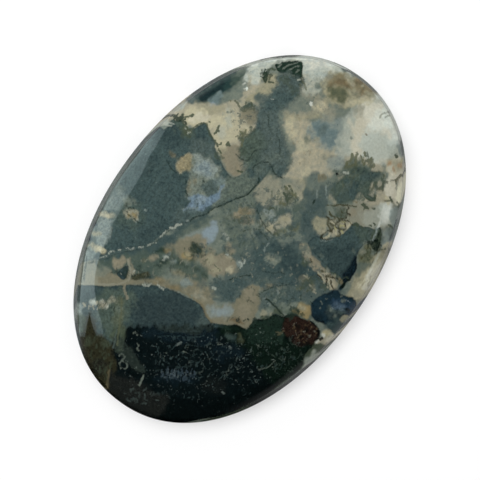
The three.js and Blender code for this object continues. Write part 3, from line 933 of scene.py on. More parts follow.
# Moss sheets with definite edges, each laid on or cut into the ones before it
SHEETS = (
    Sheet("60,262 90,200 130,140 156,127 164,129 169,125 172,119 177,121 181,120 188,128 193,129 203,123 "
          "207,125 212,137 216,143 216,151 230,176 241,174 250,162 262,150 272,164 266,176 256,187 249,193 "
          "241,198 230,202 222,206 212,209 206,215 196,218 190,222 180,225 168,230 148,245 130,248 98,257 "
          "84,262", 0.5, 1.0),
    Sheet("278,74 302,76 302,88 297,98 289,106 281,112 280,122 286,144 291,156 290,166 285,173 279,177 "
          "272,172 266,160 250,166 243,172 243,165 239,158 239,149 241,144 240,139 246,137 251,132 255,126 "
          "256,116 258,108 264,101 270,96 272,90 277,84", 1.8, 3.5),
    Sheet("275,64 280,64 282,61 285,62 290,61 297,61 302,62 303,66 302,74 303,77 301,79 297,79 294,76 "
          "290,74 281,73 277,70", 0.6, 0.8),
    Sheet("264,71 266,69 268,75 267,81 265,84 262,76", 0.4),
    Sheet("117,273 127,265 128,272 126,278 123,280 119,277", 0.3, 0.6),
    Sheet("131,278 133,275 143,272 148,272 151,274 148,277 142,279 136,280", 1.2, 1.5),
    Sheet("40,286 84,285 106,286 119,285 145,285 160,286 172,290 197,302 204,309 207,317 212,322 227,325 "
          "236,324 247,329 251,323 256,319 266,319 274,314 284,316 294,314 304,320 312,321 320,331 316,341 "
          "310,350 304,356 304,364 298,372 240,440 100,440 40,340", 0.8, 1.0),
    Sheet("312,348 330,350 302,390 262,420 200,432 200,420 222,417 258,400 272,391 284,381 296,373 303,365 "
          "305,356", 0.4, 1.2, solid=False),
    # The fan, and its lowest lobe
    Sheet("338,181 343,177 347,172 351,169 357,167 364,168 368,172 380,171 382,174 378,177 373,179 371,183 "
          "369,191 364,196 361,192 357,194 355,200 343,203 338,203 335,197 334,190", 0.8, 1.8),
    Sheet("363,195 367,194 373,197 375,194 376,199 374,201 370,201 366,199", 0.5, 0.8),
    # The slate sheet at the right and its spikes
    Sheet("312,238 318,236 324,239 336,237 341,235 349,228 351,225 355,223 357,223 359,225 364,227 370,227 "
          "373,229 377,229 380,227 382,235 379,248 378,250 375,252 373,250 371,246 371,242 362,247 357,256 "
          "357,266 356,271 350,280 346,283 344,288 341,290 338,289 343,282 337,275 321,261 "
          "308,245", 0.5, 0.9),
    Sheet("311,305 314,300 323,294 328,293 333,290 338,290 341,294 346,296 352,297 355,300 357,304 356,309 "
          "352,314 349,316 344,315 339,318 335,314 333,319 334,325 328,326 322,323 317,322 "
          "312,317", 0.6, 1.2),
)

# Threads of moss, veins and flecks
THREADS = (
    # Cracks, dark hairs and hems, and a painted dark line beside the left sheen
    *strokes("ink", 1.4, 0.9, "258,177 259,181 252,190 248,194 240,198 233,200 221,206 214,208 205,215 "
          "199,216 194,218 190,221"),
    *strokes("ink", 1.2, 0.6, "170,230 154,243 148,247 120,253 112,256 105,260; 268,115 269,125 272,133 "
          "278,137 280,145 280,155; 256,142 262,140 268,141 271,138; 240,166 247,162 254,152 260,149 "
          "268,150; 236,154 240,158 246,160 252,158"),
    *strokes("ink", 1.4, 0.75, "167,160 171,168 183,177 186,181 185,190 187,196; 139,223 143,224; 126,204 "
          "128,208 134,208; 127,211 128,214 131,217; 134,219 138,223; 253,172 254,167 258,164 264,162 "
          "270,164 275,174 279,177 284,178; 257,209 259,215 265,227 273,235 275,231 277,229; 230,280 "
          "238,277 244,276 250,276; 259,294 268,289 274,287 290,284; 86,256 87,262 85,270 84,280; 88,263 "
          "94,262; 111,273 115,272; 131,277 137,274"),
    # Painted reflection: a dark line along the outer edge of the sheen, down the left rim
    *strokes("ink", 1.7, 0.6, "151,138 135,156 119,180 108,200 101,211 90,234 86,246 84,256 81,282 78,300"),
    *strokes("ink", 2, 0.75, "203,181 204,182"),
    *strokes("ink", 2, 0.9, "266,299 271,303 284,316"),
    *strokes("ink", 1.4, 0.6, "244,231 249,229 256,229 260,231 268,240; 262,271 272,273 280,272 284,274"),
    *strokes("ink", 2.4, 0.9, "313,203 315,200"),
    *strokes("pine", 2.4, 0.9, "174,119 177,117 181,119"),
    *strokes("deep", 1.4, 0.75, "196,199 198,203 197,207"),
    *strokes("deep", 1.4, 0.6, "201,200 203,204"),
    *strokes("deep", 2.4, 0.9, "397,221 390,240"),
    *strokes("umber", 1.7, 0.9, "310,259 312,262; 318,275 321,277 322,279; 326,276 327,280 326,284 327,286; "
          "331,281 331,285 333,289; 329,277 338,279; 334,226 341,220 349,222 352,224; 344,222 346,228 "
          "344,230; 333,229 337,228 345,230; 321,237 323,234 327,231 331,231 333,228; 350,206 347,212 "
          "348,214 350,215; 347,215 346,218; 340,229 339,232 341,235; 327,217 330,220 334,220; 322,238 "
          "327,240 332,238"),
    *strokes("fir", 2.4, 0.9, "347,279 349,280"),
    *strokes("fir", 1.7, 0.75, "345,309 349,310 348,313; 313,304 310,302"),
    *strokes("slate", 2, 0.75, "335,182 335,187 336,192; 328,182 333,183"),
    *strokes("slate", 1.2, 0.45, "158,337 170,336 186,337 204,336; 163,331 180,332 200,331"),
    *strokes("pitch", 2.4, 0.9, "337,174 337.5,174.5"),
    *strokes("pitch", 3, 0.9, "320,339 322,338"),
    *strokes("pitch", 1.7, 0.75, "316,330 319,334 318,338 315,341"),
    *strokes("steel", 1.7, 0.6, "117,330 113,348"),
    # Olive and brown filigree
    *strokes("moss", 1.7, 0.9, "183,118 184,124 187,127 191,129 197,126 201,123 207,124 208,130 211,137 "
          "215,141 218,147; 217,145 220,145 221,143; 391,180 395,180 398,178; 400,175 403,177 405,182; "
          "396,182 397,184"),
    *strokes("moss", 2, 0.9, "183,118 188,116 192,116; 209,122 210,122; 184,131 187,135 190,137; 219,150 "
          "221,153; 238,171 243,172; 301,76 302,77; 268,70 271,69 275,70; 269,82 273,83; 364,204 364,209; "
          "373,208.5 375,208.5; 361,226.5 363,227.5; 370,226 372,226; 374,224 375,225; 389,225 392,228; "
          "390,197 392,202; 401,203 403,202"),
    *strokes("moss", 3, 0.9, "192,116 193,115; 227,145 230,145; 228,143 228,145; 362,205 368,208; 354,225 "
          "356,224 358,226; 396,155 397,157"),
    *strokes("moss", 2.4, 0.9, "219,126 217,131 214,134; 217,130 219,131; 251,103 252,106; 285,187 286,188; "
          "291,190 292,191; 289,186 290,187; 270,208 276,209; 288,203 284,193; 286,197 290,193; 287,200 "
          "292,197"),
    *strokes("moss", 1.7, 0.75, "235,101 238,104 239,107 242,108; 239,107 240,110 243,111 246,111; 242,108 "
          "245,107 249,109; 245,107 246,103"),
    *strokes("moss", 1.4, 0.6, "300,254 309,265; 315,275 318,279 326,287 330,290"),
    *strokes("moss", 1.4, 0.75, "327,266 325,269 325,273; 330,273 335,274 338,277; 340,280 339,284; 342,279 "
          "346,277 349,277; 304,289 307,284 310,283 312,286; 308,280 311,277 314,278; 306,292 309,289 "
          "311,291; 300,287 304,289; 380,249 384,250 386,248; 367,251 368,255; 389,248 391,246; 366,256 "
          "368,260 371,259"),
    *strokes("moss", 2.4, 0.75, "397,202 400,205 398,207; 399,215 399,220; 386,201 389,201; 367,153 "
          "368,156; 368,160 372,166; 370,162 373,160; 365,161 368,161; 384,177 383,174; 381,179 385,181; "
          "384,183 383,190; 383,186 381,188 378,189 376,187 375,184; 374,184 373,188 371,191; 376,182 "
          "377,184; 375,195 375,198; 367,198 370,200 375,200"),
    *strokes("moss", 2, 0.75, "357,152 358,155; 355,160 357,161; 356,167 357,169"),
    *strokes("moss", 3, 0.75, "383,189 383,190; 385,181 387,182; 376,187 377,188"),
    *strokes("olive", 1.7, 0.9, "240,131 243,135 241,140 246,130; 229,100 231,101; 243,140 242,146"),
    *strokes("olive", 1.7, 0.75, "303,82 305,86 306,90; 300,84 301,86; 368,164 371,167 374,167; 348,167 "
          "352,166 356,164"),
    *strokes("olive", 3, 0.9, "292,194 296,196; 286,187 287,190; 280,203 285,204; 356,164 356,158 357,155; "
          "350,162 352,158; 346,165 347,162; 353,157 352,155"),
    *strokes("olive", 2, 0.5, "380,118 382,114 385,113; 386,117 389,116; 387,112 391,113"),
    *strokes("olive", 2.4, 0.9, "364,165 363,160 361,156; 368,159 371,162; 366,156 365,153; 372,157 371,161 "
          "374,165"),
    *strokes("olive", 1.7, 0.6, "122,298 121,312 117,346"),
    *strokes("khaki", 1.7, 0.6, "239,212 244,214 250,213"),
    *strokes("khaki", 2.4, 0.6, "166,286 176,289 186,294 199,302 204,308 207,316 213,322"),
    *strokes("khaki", 1.7, 0.75, "385,201 389,201; 357,202 354,201"),
    *strokes("khaki", 1.4, 0.6, "318,176 320,182; 318,175 324,175 327,179"),
    *strokes("khaki", 1.7, 0.4, "277,332 281,333 284,331; 278,335 281,334"),
    *strokes("loam", 2.4, 0.75, "321,271 323,272; 328,276 330,276; 396,181 400,176 402,174.5 405,176"),
    *strokes("loam", 1.7, 0.9, "337,217 339,219 343,218; 341,210 342,213 341,216; 330,220 331,224 334,226; "
          "329,212 331,216 335,217; 329,218 328,223 329,228 332,232; 336,236 340,236; 326,205 334,206 "
          "342,205 357,206.5"),
    *strokes("loam", 1.7, 0.75, "366,249 368,247 370,248 371,250; 371,251 369,253 366,254 361,259; 375,255 "
          "380,250"),
    *strokes("brown", 1.7, 0.9, "366,134 367,135"),
    # Pale veins, curls and flecks
    *strokes("chalk", 2.4, 0.75, "163,260 165,257 168,257; 181,224 177,225 174,228 170,228; 143,285 147,286 "
          "150,284; 158,285 161,288 163,289; 213,288 215,289"),
    *strokes("chalk", 1.7, 0.75, "166,231 160,237; 133,272 135,271; 185,129 186,129; 121,274 122,274; "
          "298,80 300,80; 271,99.5 273,99.5; 263,76 263,78"),
    *strokes("chalk", 1.4, 0.75, "100,258 107,256; 109,254 111,251 114,251; 118,250 121,250; 126,248.5 "
          "129,248.5; 131,249 134,248; 139,247 143,247; 148,245.5 156,242; 188,133 190,132; 163,121 "
          "174,124; 160,125 166,125 172,126"),
    *strokes("chalk", 2.4, 0.9, "344,173 348,173"),
    # The mist thread from 377,228 to 372,241 is painted sheen, the lower end of a pale streak down the right
    # shoulder
    *strokes("mist", 1.7, 0.75, "187,221 188,221; 145,210 146,210; 264,251 266,246 269,243; 377,228 375,235 "
          "372,241"),
    *strokes("mist", 1.4, 0.6, "182,209 190,208 198,208; 277,291 279,292 278,294; 267,305 269,304 270,306; "
          "263,299 265,298; 320,240 326,241 332,240; 317,190 317,198; 338,162 338,165"),
    *strokes("mist", 1.4, 0.75, "326,185 326,191 327,198"),
    *strokes("mist", 1.7, 0.45, "222,392 224,394; 229,347 232,348; 177,345 181,342"),
    *strokes("haze", 1.4, 0.75, "283,69 287,66 292,64 297,63; 289,70 299,66; 278,67 281,65; 296,72 299,70"),
    *strokes("haze", 2.4, 0.75, "328,269 328,272; 304,260 305,262; 351,138 352,139"),
    *strokes("haze", 1.7, 0.6, "398,181 396,190; 326,299 327.5,299; 321,302 322,304; 319.5,308.5 320.5,308; "
          "341,296 342,296"),
    *strokes("haze", 2, 0.75, "143,376 142,380; 141,382 139,385"),
    *strokes("haze", 1.2, 0.45, "257,370 270,366 275,361"),
    *strokes("haze", 1.4, 0.6, "133,333 136,332 137,335; 137,343 139,346 137,349 139,351; 183,352 186,353; "
          "218,344 222,345; 119,356 122,354 125,357 119,364; 122,361 126,363 127,367 124,369; 119,364 "
          "121,368"),
    # Painted sheen: a pale streak down the right shoulder, along the streak that a card mirrors there
    *strokes("pearl", 1.7, 0.6, "384,206 378,227"),
    *strokes("pearl", 3, 0.9, "310.5,103 311,105"),
    *strokes("pearl", 1.4, 0.6, "243,84 246,83; 244,88 246,90"),
    *strokes("cream", 1.7, 0.6, "318,272 324,279 325,283; 328,279 329,283 331,287; 327,287 331,289"),
    *strokes("cream", 2, 0.75, "347,228 351,223; 324,238 327,237 330,234; 336,231 336,234; 331,222 334,223"),
    *strokes("straw", 2.4, 0.6, "333,276 336,276; 334,282 337,284 336,287"),
    *strokes("straw", 2.4, 0.9, "362,86 363,86"),
    *strokes("oat", 1.4, 0.6, "303,275 309,278; 313,291 316,293; 309,285 311,286; 313,288 315,290"),
    *strokes("drab", 2.4, 0.75, "76,284 95,284 106,285 118,284 126,281; 128,260 130,270 130,275 128,280"),
    *strokes("drab", 1.2, 0.45, "293,325 295,324; 303,332 305,332; 308,336 310,337; 313,331 315,332; "
          "296,333 297,335"),
    *strokes("tan", 2.4, 0.75, "126,282 140,281 158,281"),
    *strokes("sand", 2.4, 0.75, "125,284 124,288 128,299"),
    *strokes("milk", 1.7, 0.6, "239,262 242,264 240,268; 226,254 228,255; 245,260 244,264"),
    *strokes("butter", 2, 0.9, "340,226 344,226; 342,231 343,233; 341,222 345,222; 335,228 336,230"),
    *strokes("white", 1.7, 0.9, "266,70 267,70; 247,88 247,90"),
    *strokes("sky", 1.2, 0.45, "330,307 334,309; 346,300 350,302"),
)

# Small fans of moss, each grown from its root
TUFTS = (
    # On the cream window
    Tuft("pine", 178, 121, 7, 60, 160, 5, 1.4),
    Tuft("moss", 183, 131, 5, 20, 300, 5, 1.2, 0.6),
    Tuft("moss", 248, 110, 6, 90, 170, 4, 1.3, 0.6),
    Tuft("moss", 242, 139, 6, 90, 80, 3, 1.3, 0.7),
    Tuft("moss", 252, 134, 6, 140, 160, 4, 1.3, 0.6),
    Tuft("moss", 217, 158, 5, 60, 200, 4, 1.3, 0.6),
    # The plume's cap and its upper part
    Tuft("pine", 266, 75, 5, 90, 300, 6, 1.3, 0.7),
    Tuft("moss", 284, 84, 7, 60, 160, 4, 1.4, 0.5),
    Tuft("moss", 291, 92, 7, 30, 120, 4, 1.4, 0.4),
    # The dendrite in the middle
    Tuft("moss", 286, 206, 16, 90, 110, 4, 1.3, 0.55),
    Tuft("fern", 284, 216, 10, 130, 100, 4, 1.4, 0.6),
    Tuft("fern", 292, 212, 9, 50, 90, 4, 1.4, 0.6),
    # The fan
    Tuft("fern", 362, 190, 10, 300, 110, 4, 1.4, 0.5),
    Tuft("fern", 348, 190, 12, 210, 100, 4, 1.5, 0.5),
    Tuft("moss", 356, 166, 7, 100, 160, 4, 1.3, 0.5),
    # Filigree under the fan
    Tuft("moss", 341, 214, 6, 60, 300, 5, 1.2, 0.6),
    Tuft("loam", 333, 224, 6, 120, 300, 4, 1.1, 0.6),
    # By the right rim
    Tuft("fir", 377, 240, 8, 240, 160, 5, 1.3, 0.8),
    Tuft("moss", 369, 256, 6, 60, 240, 4, 1.2, 0.5),
    # In the middle and on the left
    Tuft("ink", 196, 252, 8, 90, 300, 6, 1.4, 0.6),
    Tuft("ink", 122, 275, 8, 60, 200, 4, 1.3, 0.6),
    Tuft("ink", 142, 277, 8, 20, 160, 4, 1.3, 0.5),
    Tuft("ink", 175, 258, 10, 200, 120, 4, 1.3, 0.4),
    Tuft("moss", 244, 212, 7, 0, 300, 5, 1.4, 0.5),
    Tuft("sage", 304, 250, 7, 100, 240, 5, 1.3, 0.6),
    Tuft("moss", 308, 262, 5, 200, 160, 3, 1.2, 0.6),
    Tuft("moss", 307, 286, 7, 90, 300, 5, 1.2, 0.6),
    Tuft("moss", 326, 284, 5, 250, 160, 3, 1.2, 0.6),
    Tuft("pine", 296, 316, 9, 110, 160, 6, 1.5, 0.7),
)

# Short marks strewn over areas
LITTERS = (
    # Streaks in the cream window and on the bright right side
    Litter("mist", 228, 120, 8, 12, 12, 5, 1.2, 0.35, 90, 15),
    Litter("bone", 366, 284, 12, 6, 10, 9, 1.2, 0.45, 57, 10),
    Litter("tan", 364, 286, 12, 8, 10, 7, 1.2, 0.4, 57, 15),
    Litter("moss", 338, 222, 12, 12, 26, 3, 1.1, 0.5),
    Litter("haze", 318, 88, 9, 10, 10, 5, 1.4, 0.5, 80, 30),
    # Hairlines on the great sheet and on the sheen
    Litter("steel", 165, 185, 45, 25, 40, 5, 1.1, 0.4, 40, 60),
    Litter("dusk", 160, 200, 40, 30, 30, 4, 1.2, 0.4, 60, 90),
    Litter("ink", 124, 190, 8, 45, 12, 4, 1.2, 0.7, 20, 60),
    # Dark and pale crumbs in the mottled ground
    Litter("moss", 250, 225, 30, 22, 60, 4, 1.3, 0.55),
    Litter("moss", 200, 262, 34, 18, 54, 4, 1.3, 0.55),
    Litter("ink", 270, 296, 34, 16, 30, 4, 1.2, 0.5),
    Litter("drab", 268, 270, 44, 26, 60, 3, 1.2, 0.55),
    Litter("khaki", 302, 140, 12, 28, 44, 2, 1.2, 0.35),
    Litter("teal", 358, 184, 18, 14, 36, 3, 1.2, 0.5),
    Litter("olive", 358, 180, 18, 12, 24, 3, 1.2, 0.5),
    Litter("drab", 150, 266, 44, 12, 26, 3, 1.3, 0.5),
    Litter("moss", 320, 205, 14, 30, 24, 3, 1.3, 0.5),
    Litter("ink", 260, 322, 34, 5, 26, 4, 1.4, 0.7, 90, 120),
    Litter("night", 180, 328, 36, 3, 16, 4, 1.3, 0.6, 90, 120),
    # Specks and curls in the dark foot
    Litter("slate", 218, 360, 78, 26, 170, 2.5, 1.0, 0.36),
    Litter("steel", 235, 360, 50, 22, 60, 3.5, 1.0, 0.4, 60, 90),
    Litter("haze", 220, 356, 66, 20, 30, 1.4, 1.0, 0.4),
    Litter("lilac", 178, 376, 18, 7, 60, 4, 0.8, 0.22, 90, 10),
    Litter("sky", 170, 376, 6, 4, 16, 4, 0.8, 0.35, 90, 10),
    Litter("slate", 176, 352, 28, 16, 40, 3, 1.0, 0.45, 0, 60),
    Litter("brown", 304, 330, 13, 12, 30, 1.5, 1.1, 0.6),
    Litter("fern", 288, 356, 16, 18, 50, 2.5, 1.1, 0.35),
    Litter("slate", 200, 394, 50, 10, 40, 2.5, 1.0, 0.3),
    Litter("moss", 100, 360, 14, 24, 36, 5, 1.3, 0.5, 80, 60),
    Litter("steel", 140, 396, 20, 8, 24, 4, 1.2, 0.4, 20, 120),
    # Cream crumbs by the left rim
    Litter("oat", 92, 304, 16, 6, 16, 2, 1.5, 0.7),
    Litter("ink", 100, 304, 18, 7, 14, 3, 1.3, 0.6),
)

# How thickly fine moss covers the ground between the sheets
COVER = (
    Area(0.42, "180,232 258,190 300,190 330,262 340,282 300,304 250,300 214,290 196,282 176,262", 8),
    Area(0.35, "186,226 214,212 240,204 258,214 250,232 222,244 196,238", 5),
    Area(0.55, "214,278 240,276 262,270 300,290 280,312 262,312 250,300 226,300 210,286", 5),
    Area(0.2, "300,84 330,80 336,104 320,116 296,112", 5),
    Area(0.35, "226,112 256,100 258,134 240,140 232,128", 4),
    Area(0.35, "330,164 372,166 374,190 356,202 330,204", 6),
    Area(0.0, "199,257 206,253 234,254 240,264 236,274 222,277 208,275 200,267", 1.5),
    Area(0.0, "240,296 250,284 260,286 262,312 250,328 204,326 200,304 232,302", 2),
    Area(0.0, "178,243 190,232 206,226 215,219 220,230 214,246 204,242 192,243 193,258 184,262 178,254", 2),
)

# Where the stone between the moss is smooth and clear
CALM = (
    Area(0.8, "340,110 384,96 410,140 410,250 350,310 344,290 378,250 392,228 350,226 344,206 372,202 "
          "392,172 372,160 344,158", 4),
    Area(0.7, "176,108 250,100 256,128 232,170 220,150 186,126", 4),
    Area(0.9, "178,242 190,230 215,219 220,232 212,248 240,254 240,276 200,276 190,262 178,256", 3),
    Area(0.7, "200,300 236,302 250,284 262,286 262,314 248,330 204,326", 3),
    Area(0.7, "60,262 112,268 128,284 60,288", 3),
)

# Where small pale flecks lie
FLECKS = (
    Area(0.25, "60,262 130,140 158,117 210,122 230,175 292,160 258,184 189,222 112,253"),
    Area(0.45, "180,222 258,186 300,190 330,262 340,282 300,310 250,300 200,300 140,284 96,280 110,252", 6),
    Area(0.7, "118,338 160,332 215,332 300,322 318,334 296,372 262,386 220,392 170,396 130,384 118,366", 6),
    Area(0.4, "150,396 220,392 240,404 220,414 160,412", 5),
)


# How tufts branch, and how the marks of litters differ
AIM_SWAY = 12  # degrees
BRANCH_LENGTHS = (0.7, 1.1)  # of the tuft's reach
BRANCH_BENDS = 3
BEND_SWAY = 0.35  # radians
TWIG_TURNS = (0.6, 1.2)  # radians
TWIG_LENGTHS = (0.2, 0.4)  # of the branch's length
TIP_LENGTH = 0.3  # pixels
TIP_WIDTH = 1.7  # of the branch's width, as are the next two
TWIG_WIDTH = 0.85
TWIG_TIP_WIDTH = 1.5
MARK_SWAY = 0.7  # radians
MARK_LENGTHS = (0.3, 1.3)  # of the litter's length, and the next two of its strength and width
MARK_STRENGTHS = (0.4, 1.3)
MARK_WIDTHS = (0.8, 1.3)


def step_from(place, angle, length):
    """The place at a distance, in the direction of an angle up from the right."""
    return place[0] + length * math.cos(angle), place[1] - length * math.sin(angle)


def thread_through(places, kind, width):
    """A thread in a tuft's or a litter's tone."""
    return Stroke(kind.tone, " ".join(f"{x:.1f},{y:.1f}" for x, y in places), width, kind.strength)


def grow(tuft, seed):
    """The threads of a tuft: branches from its root, each with twigs that end in round tips."""
    chance = random.Random(seed)
    threads = []
    for branch in range(tuft.branches):
        aim = tuft.heading + tuft.fan * ((branch + 0.5) / tuft.branches - 0.5)
        angle = math.radians(aim + chance.uniform(-AIM_SWAY, AIM_SWAY))
        length = tuft.reach * chance.uniform(*BRANCH_LENGTHS)
        places = [(tuft.x, tuft.y)]
        for _ in range(BRANCH_BENDS):
            angle += chance.uniform(-BEND_SWAY, BEND_SWAY)
            places.append(step_from(places[-1], angle, length / BRANCH_BENDS))
        threads.append(thread_through(places, tuft, tuft.width))
        tip = [places[-1], step_from(places[-1], angle, TIP_LENGTH)]
        threads.append(thread_through(tip, tuft, tuft.width * TIP_WIDTH))
        for root in places[1:]:
            side = angle + chance.choice((-1, 1)) * chance.uniform(*TWIG_TURNS)
            end = step_from(root, side, length * chance.uniform(*TWIG_LENGTHS))
            threads.append(thread_through([root, end], tuft, tuft.width * TWIG_WIDTH))
            tip = [end, step_from(end, side, TIP_LENGTH)]
            threads.append(thread_through(tip, tuft, tuft.width * TWIG_TIP_WIDTH))
    return threads


def strew(litter, seed):
    """The marks of a litter, each its own length, bend and strength."""
    chance = random.Random(seed)
    threads = []
    for _ in range(litter.count):
        away, round_about = math.sqrt(chance.random()), chance.uniform(0, 2 * math.pi)
        place = (litter.x + litter.across * away * math.cos(round_about),
                 litter.y + litter.up * away * math.sin(round_about))
        angle = math.radians(litter.heading + chance.uniform(-0.5, 0.5) * litter.spread)
        bend = chance.uniform(-MARK_SWAY, MARK_SWAY)
        length = litter.length * chance.uniform(*MARK_LENGTHS)
        middle = step_from(place, angle, length / 2)
        end = step_from(middle, angle + bend, length / 2)
        mark = litter._replace(strength=litter.strength * chance.uniform(*MARK_STRENGTHS))
        width = litter.width * chance.uniform(*MARK_WIDTHS)
        threads.append(thread_through([place, middle, end], mark, width))
    return threads


# Turning traced outlines into values over the stone

FAR = 12.0  # distances past this many pixels are all alike
CURVE_STEPS = 3
LATTICE = 64
RIPPLES = ((7.0, 1.6), (3.2, 1.0))  # the grain and reach, in pixels, of what makes the edges uneven
PATCHY = ((6.0, 0.5), (3.0, 0.4))  # the same for how patchily they fade
THREAD_RIPPLE = (4.0, 0.6)
DEEP_DRIFT = (70.0, 26.0)  # how the moss wanders from the dome through to the back


def ripples(places, grain, reach, seed):
    """A smooth random push, right and down, for each place."""
    lattice = np.random.default_rng(seed).uniform(-reach, reach, (LATTICE, LATTICE, 2))
    cell = np.floor(places / grain).astype(int)
    along = places / grain - cell
    along = along * along * (3 - 2 * along)
    pushes = np.zeros_like(places)
    for right in (0, 1):
        for down in (0, 1):
            weight = np.abs(1 - right - along[:, 0]) * np.abs(1 - down - along[:, 1])
            corner = lattice[(cell[:, 0] + right) % LATTICE, (cell[:, 1] + down) % LATTICE]
            pushes += corner * weight[:, None]
    return pushes


def photo_places(points, camera_height):
    """Where the camera of the photograph sees points of the stone, in the photograph's pixels."""
    girdle_away = camera_height - GIRDLE_HEIGHT
    nearer = girdle_away / (camera_height - points[:, 2]) / PIXEL
    right = points @ np.array(PHOTO_RIGHT) * nearer
    up = points @ np.array(PHOTO_UP) * nearer
    return np.stack([STONE_MIDDLE[0] + right, STONE_MIDDLE[1] - up], 1)


def corners_of(trace):
    """The points of a trace, which is written as "x,y x,y"."""
    return np.array([[float(part) for part in corner.split(",")] for corner in trace.split()])


def smooth_path(corners, closed):
    """More points along a smooth curve through the given ones."""
    if len(corners) < 3:
        return corners
    if closed:
        before, after, further = (np.roll(corners, shift, 0) for shift in (1, -1, -2))
        start = corners
    else:
        padded = np.concatenate([corners[:1], corners, corners[-1:]])
        before, start, after, further = padded[:-3], padded[1:-2], padded[2:-1], padded[3:]
    parts = []
    for step in range(CURVE_STEPS):
        t = step / CURVE_STEPS
        bend = 2 * before - 5 * start + 4 * after - further
        twist = 3 * start - before - 3 * after + further
        parts.append(start + ((after - before) * t + bend * t**2 + twist * t**3) / 2)
    curve = np.stack(parts, 1).reshape(-1, 2)
    return curve if closed else np.concatenate([curve, corners[-1:]])


def path_distance(places, path, closed):
    """How far each place is from a path."""
    ends = np.roll(path, -1, 0) if closed else path[1:]
    starts = path if closed else path[:-1]
    nearest = np.full(len(places), np.inf)
    for start, end in zip(starts, ends):
        span = end - start
        along = np.clip((places - start) @ span / max(span @ span, 1e-9), 0, 1)
        apart = places - start - along[:, None] * span
        nearest = np.minimum(nearest, (apart**2).sum(1))
    return np.sqrt(nearest)


def is_inside(places, outline):
    """Which places an outline encloses, by how often a line to the left crosses it."""
    inside = np.zeros(len(places), bool)
    for (x0, y0), (x1, y1) in zip(outline, np.roll(outline, -1, 0)):
        if y0 == y1:
            continue
        crosses = (places[:, 1] < y0) != (places[:, 1] < y1)
        inside ^= crosses & (places[:, 0] < x0 + (places[:, 1] - y0) * (x1 - x0) / (y1 - y0))
    return inside


def near_rows(places, corners):
    """The rows of the places that a trace can reach."""
    low, high = corners.min(0) - FAR, corners.max(0) + FAR
    return np.flatnonzero(((places >= low) & (places <= high)).all(1))


def depth_inside(places, trace):
    """How deep each place is inside an outline, in pixels, and below 0 outside it."""
    depth = np.full(len(places), -FAR)
    corners = corners_of(trace)
    rows = near_rows(places, corners)
    if len(rows):
        outline = smooth_path(corners, closed=True)
        apart = path_distance(places[rows], outline, closed=True)
        depth[rows] = np.clip(np.where(is_inside(places[rows], outline), apart, -apart), -FAR, FAR)
    return depth


def inside_share(places, outline, edge, uneven):
    """How far inside a soft-edged outline each place is, from 0 to 1, its fading made patchy."""
    share = np.clip(depth_inside(places, outline) / (2 * edge) + 0.5, 0, 1)
    share = np.clip(share + uneven * 4 * share * (1 - share), 0, 1)
    return share * share * (3 - 2 * share)


def paint(places, base, patches, uneven):
    """The tone of each place after the patches are laid over a base tone, one after another."""
    colours = np.tile(np.array(display(*TONES[base])), (len(places), 1))
    for patch in patches:
        share = inside_share(places, patch.outline, patch.edge, uneven)
        share = (share * patch.strength)[:, None]
        colours = colours * (1 - share) + np.array(display(*TONES[patch.tone])) * share
    return colours


def spread(places, areas, uneven):
    """How much of a fine pattern each place gets."""
    level = np.zeros(len(places))
    for area in areas:
        level += (area.level - level) * inside_share(places, area.outline, area.edge, uneven)
    return level


def lay_sheets(places, sheets):
    """How deep each place lies in the moss sheets, and how frayed and soft the nearest edge is."""
    depth = np.full(len(places), -FAR)
    fray = np.zeros(len(places))
    soft = np.ones(len(places))
    for sheet in sheets:
        own = depth_inside(places, sheet.outline) * (1 if sheet.solid else -1)
        rules = own > depth if sheet.solid else own < depth
        depth = np.where(rules, own, depth)
        fray = np.where(rules, sheet.fray, fray)
        soft = np.where(rules, sheet.soft, soft)
    return depth, fray, soft


def lay_threads(places, threads):
    """How deep each place lies in the nearest thread, with the thread's tone and strength."""
    depth = np.full(len(places), -FAR)
    tones = np.zeros((len(places), 3))
    strength = np.zeros(len(places))
    for stroke in threads:
        corners = corners_of(stroke.path)
        rows = near_rows(places, corners)
        path = smooth_path(corners, closed=False)
        own = stroke.width / 2 - path_distance(places[rows], path, closed=False)
        rules = own > depth[rows]
        rows = rows[rules]
        depth[rows] = own[rules]
        tones[rows] = display(*TONES[stroke.tone])
        strength[rows] = stroke.strength
    return depth, tones, strength


def store(mesh, name, values):
    """Keeps a value or a colour for each vertex in an attribute."""
    if values.ndim == 1:
        attribute = mesh.attributes.new(name, "FLOAT", "POINT")
        attribute.data.foreach_set("value", values.astype(np.float32))
    else:
        attribute = mesh.attributes.new(name, "FLOAT_COLOR", "POINT")
        colours = np.concatenate([values, np.ones((len(values), 1))], 1)
        attribute.data.foreach_set("color", colours.astype(np.float32).ravel())


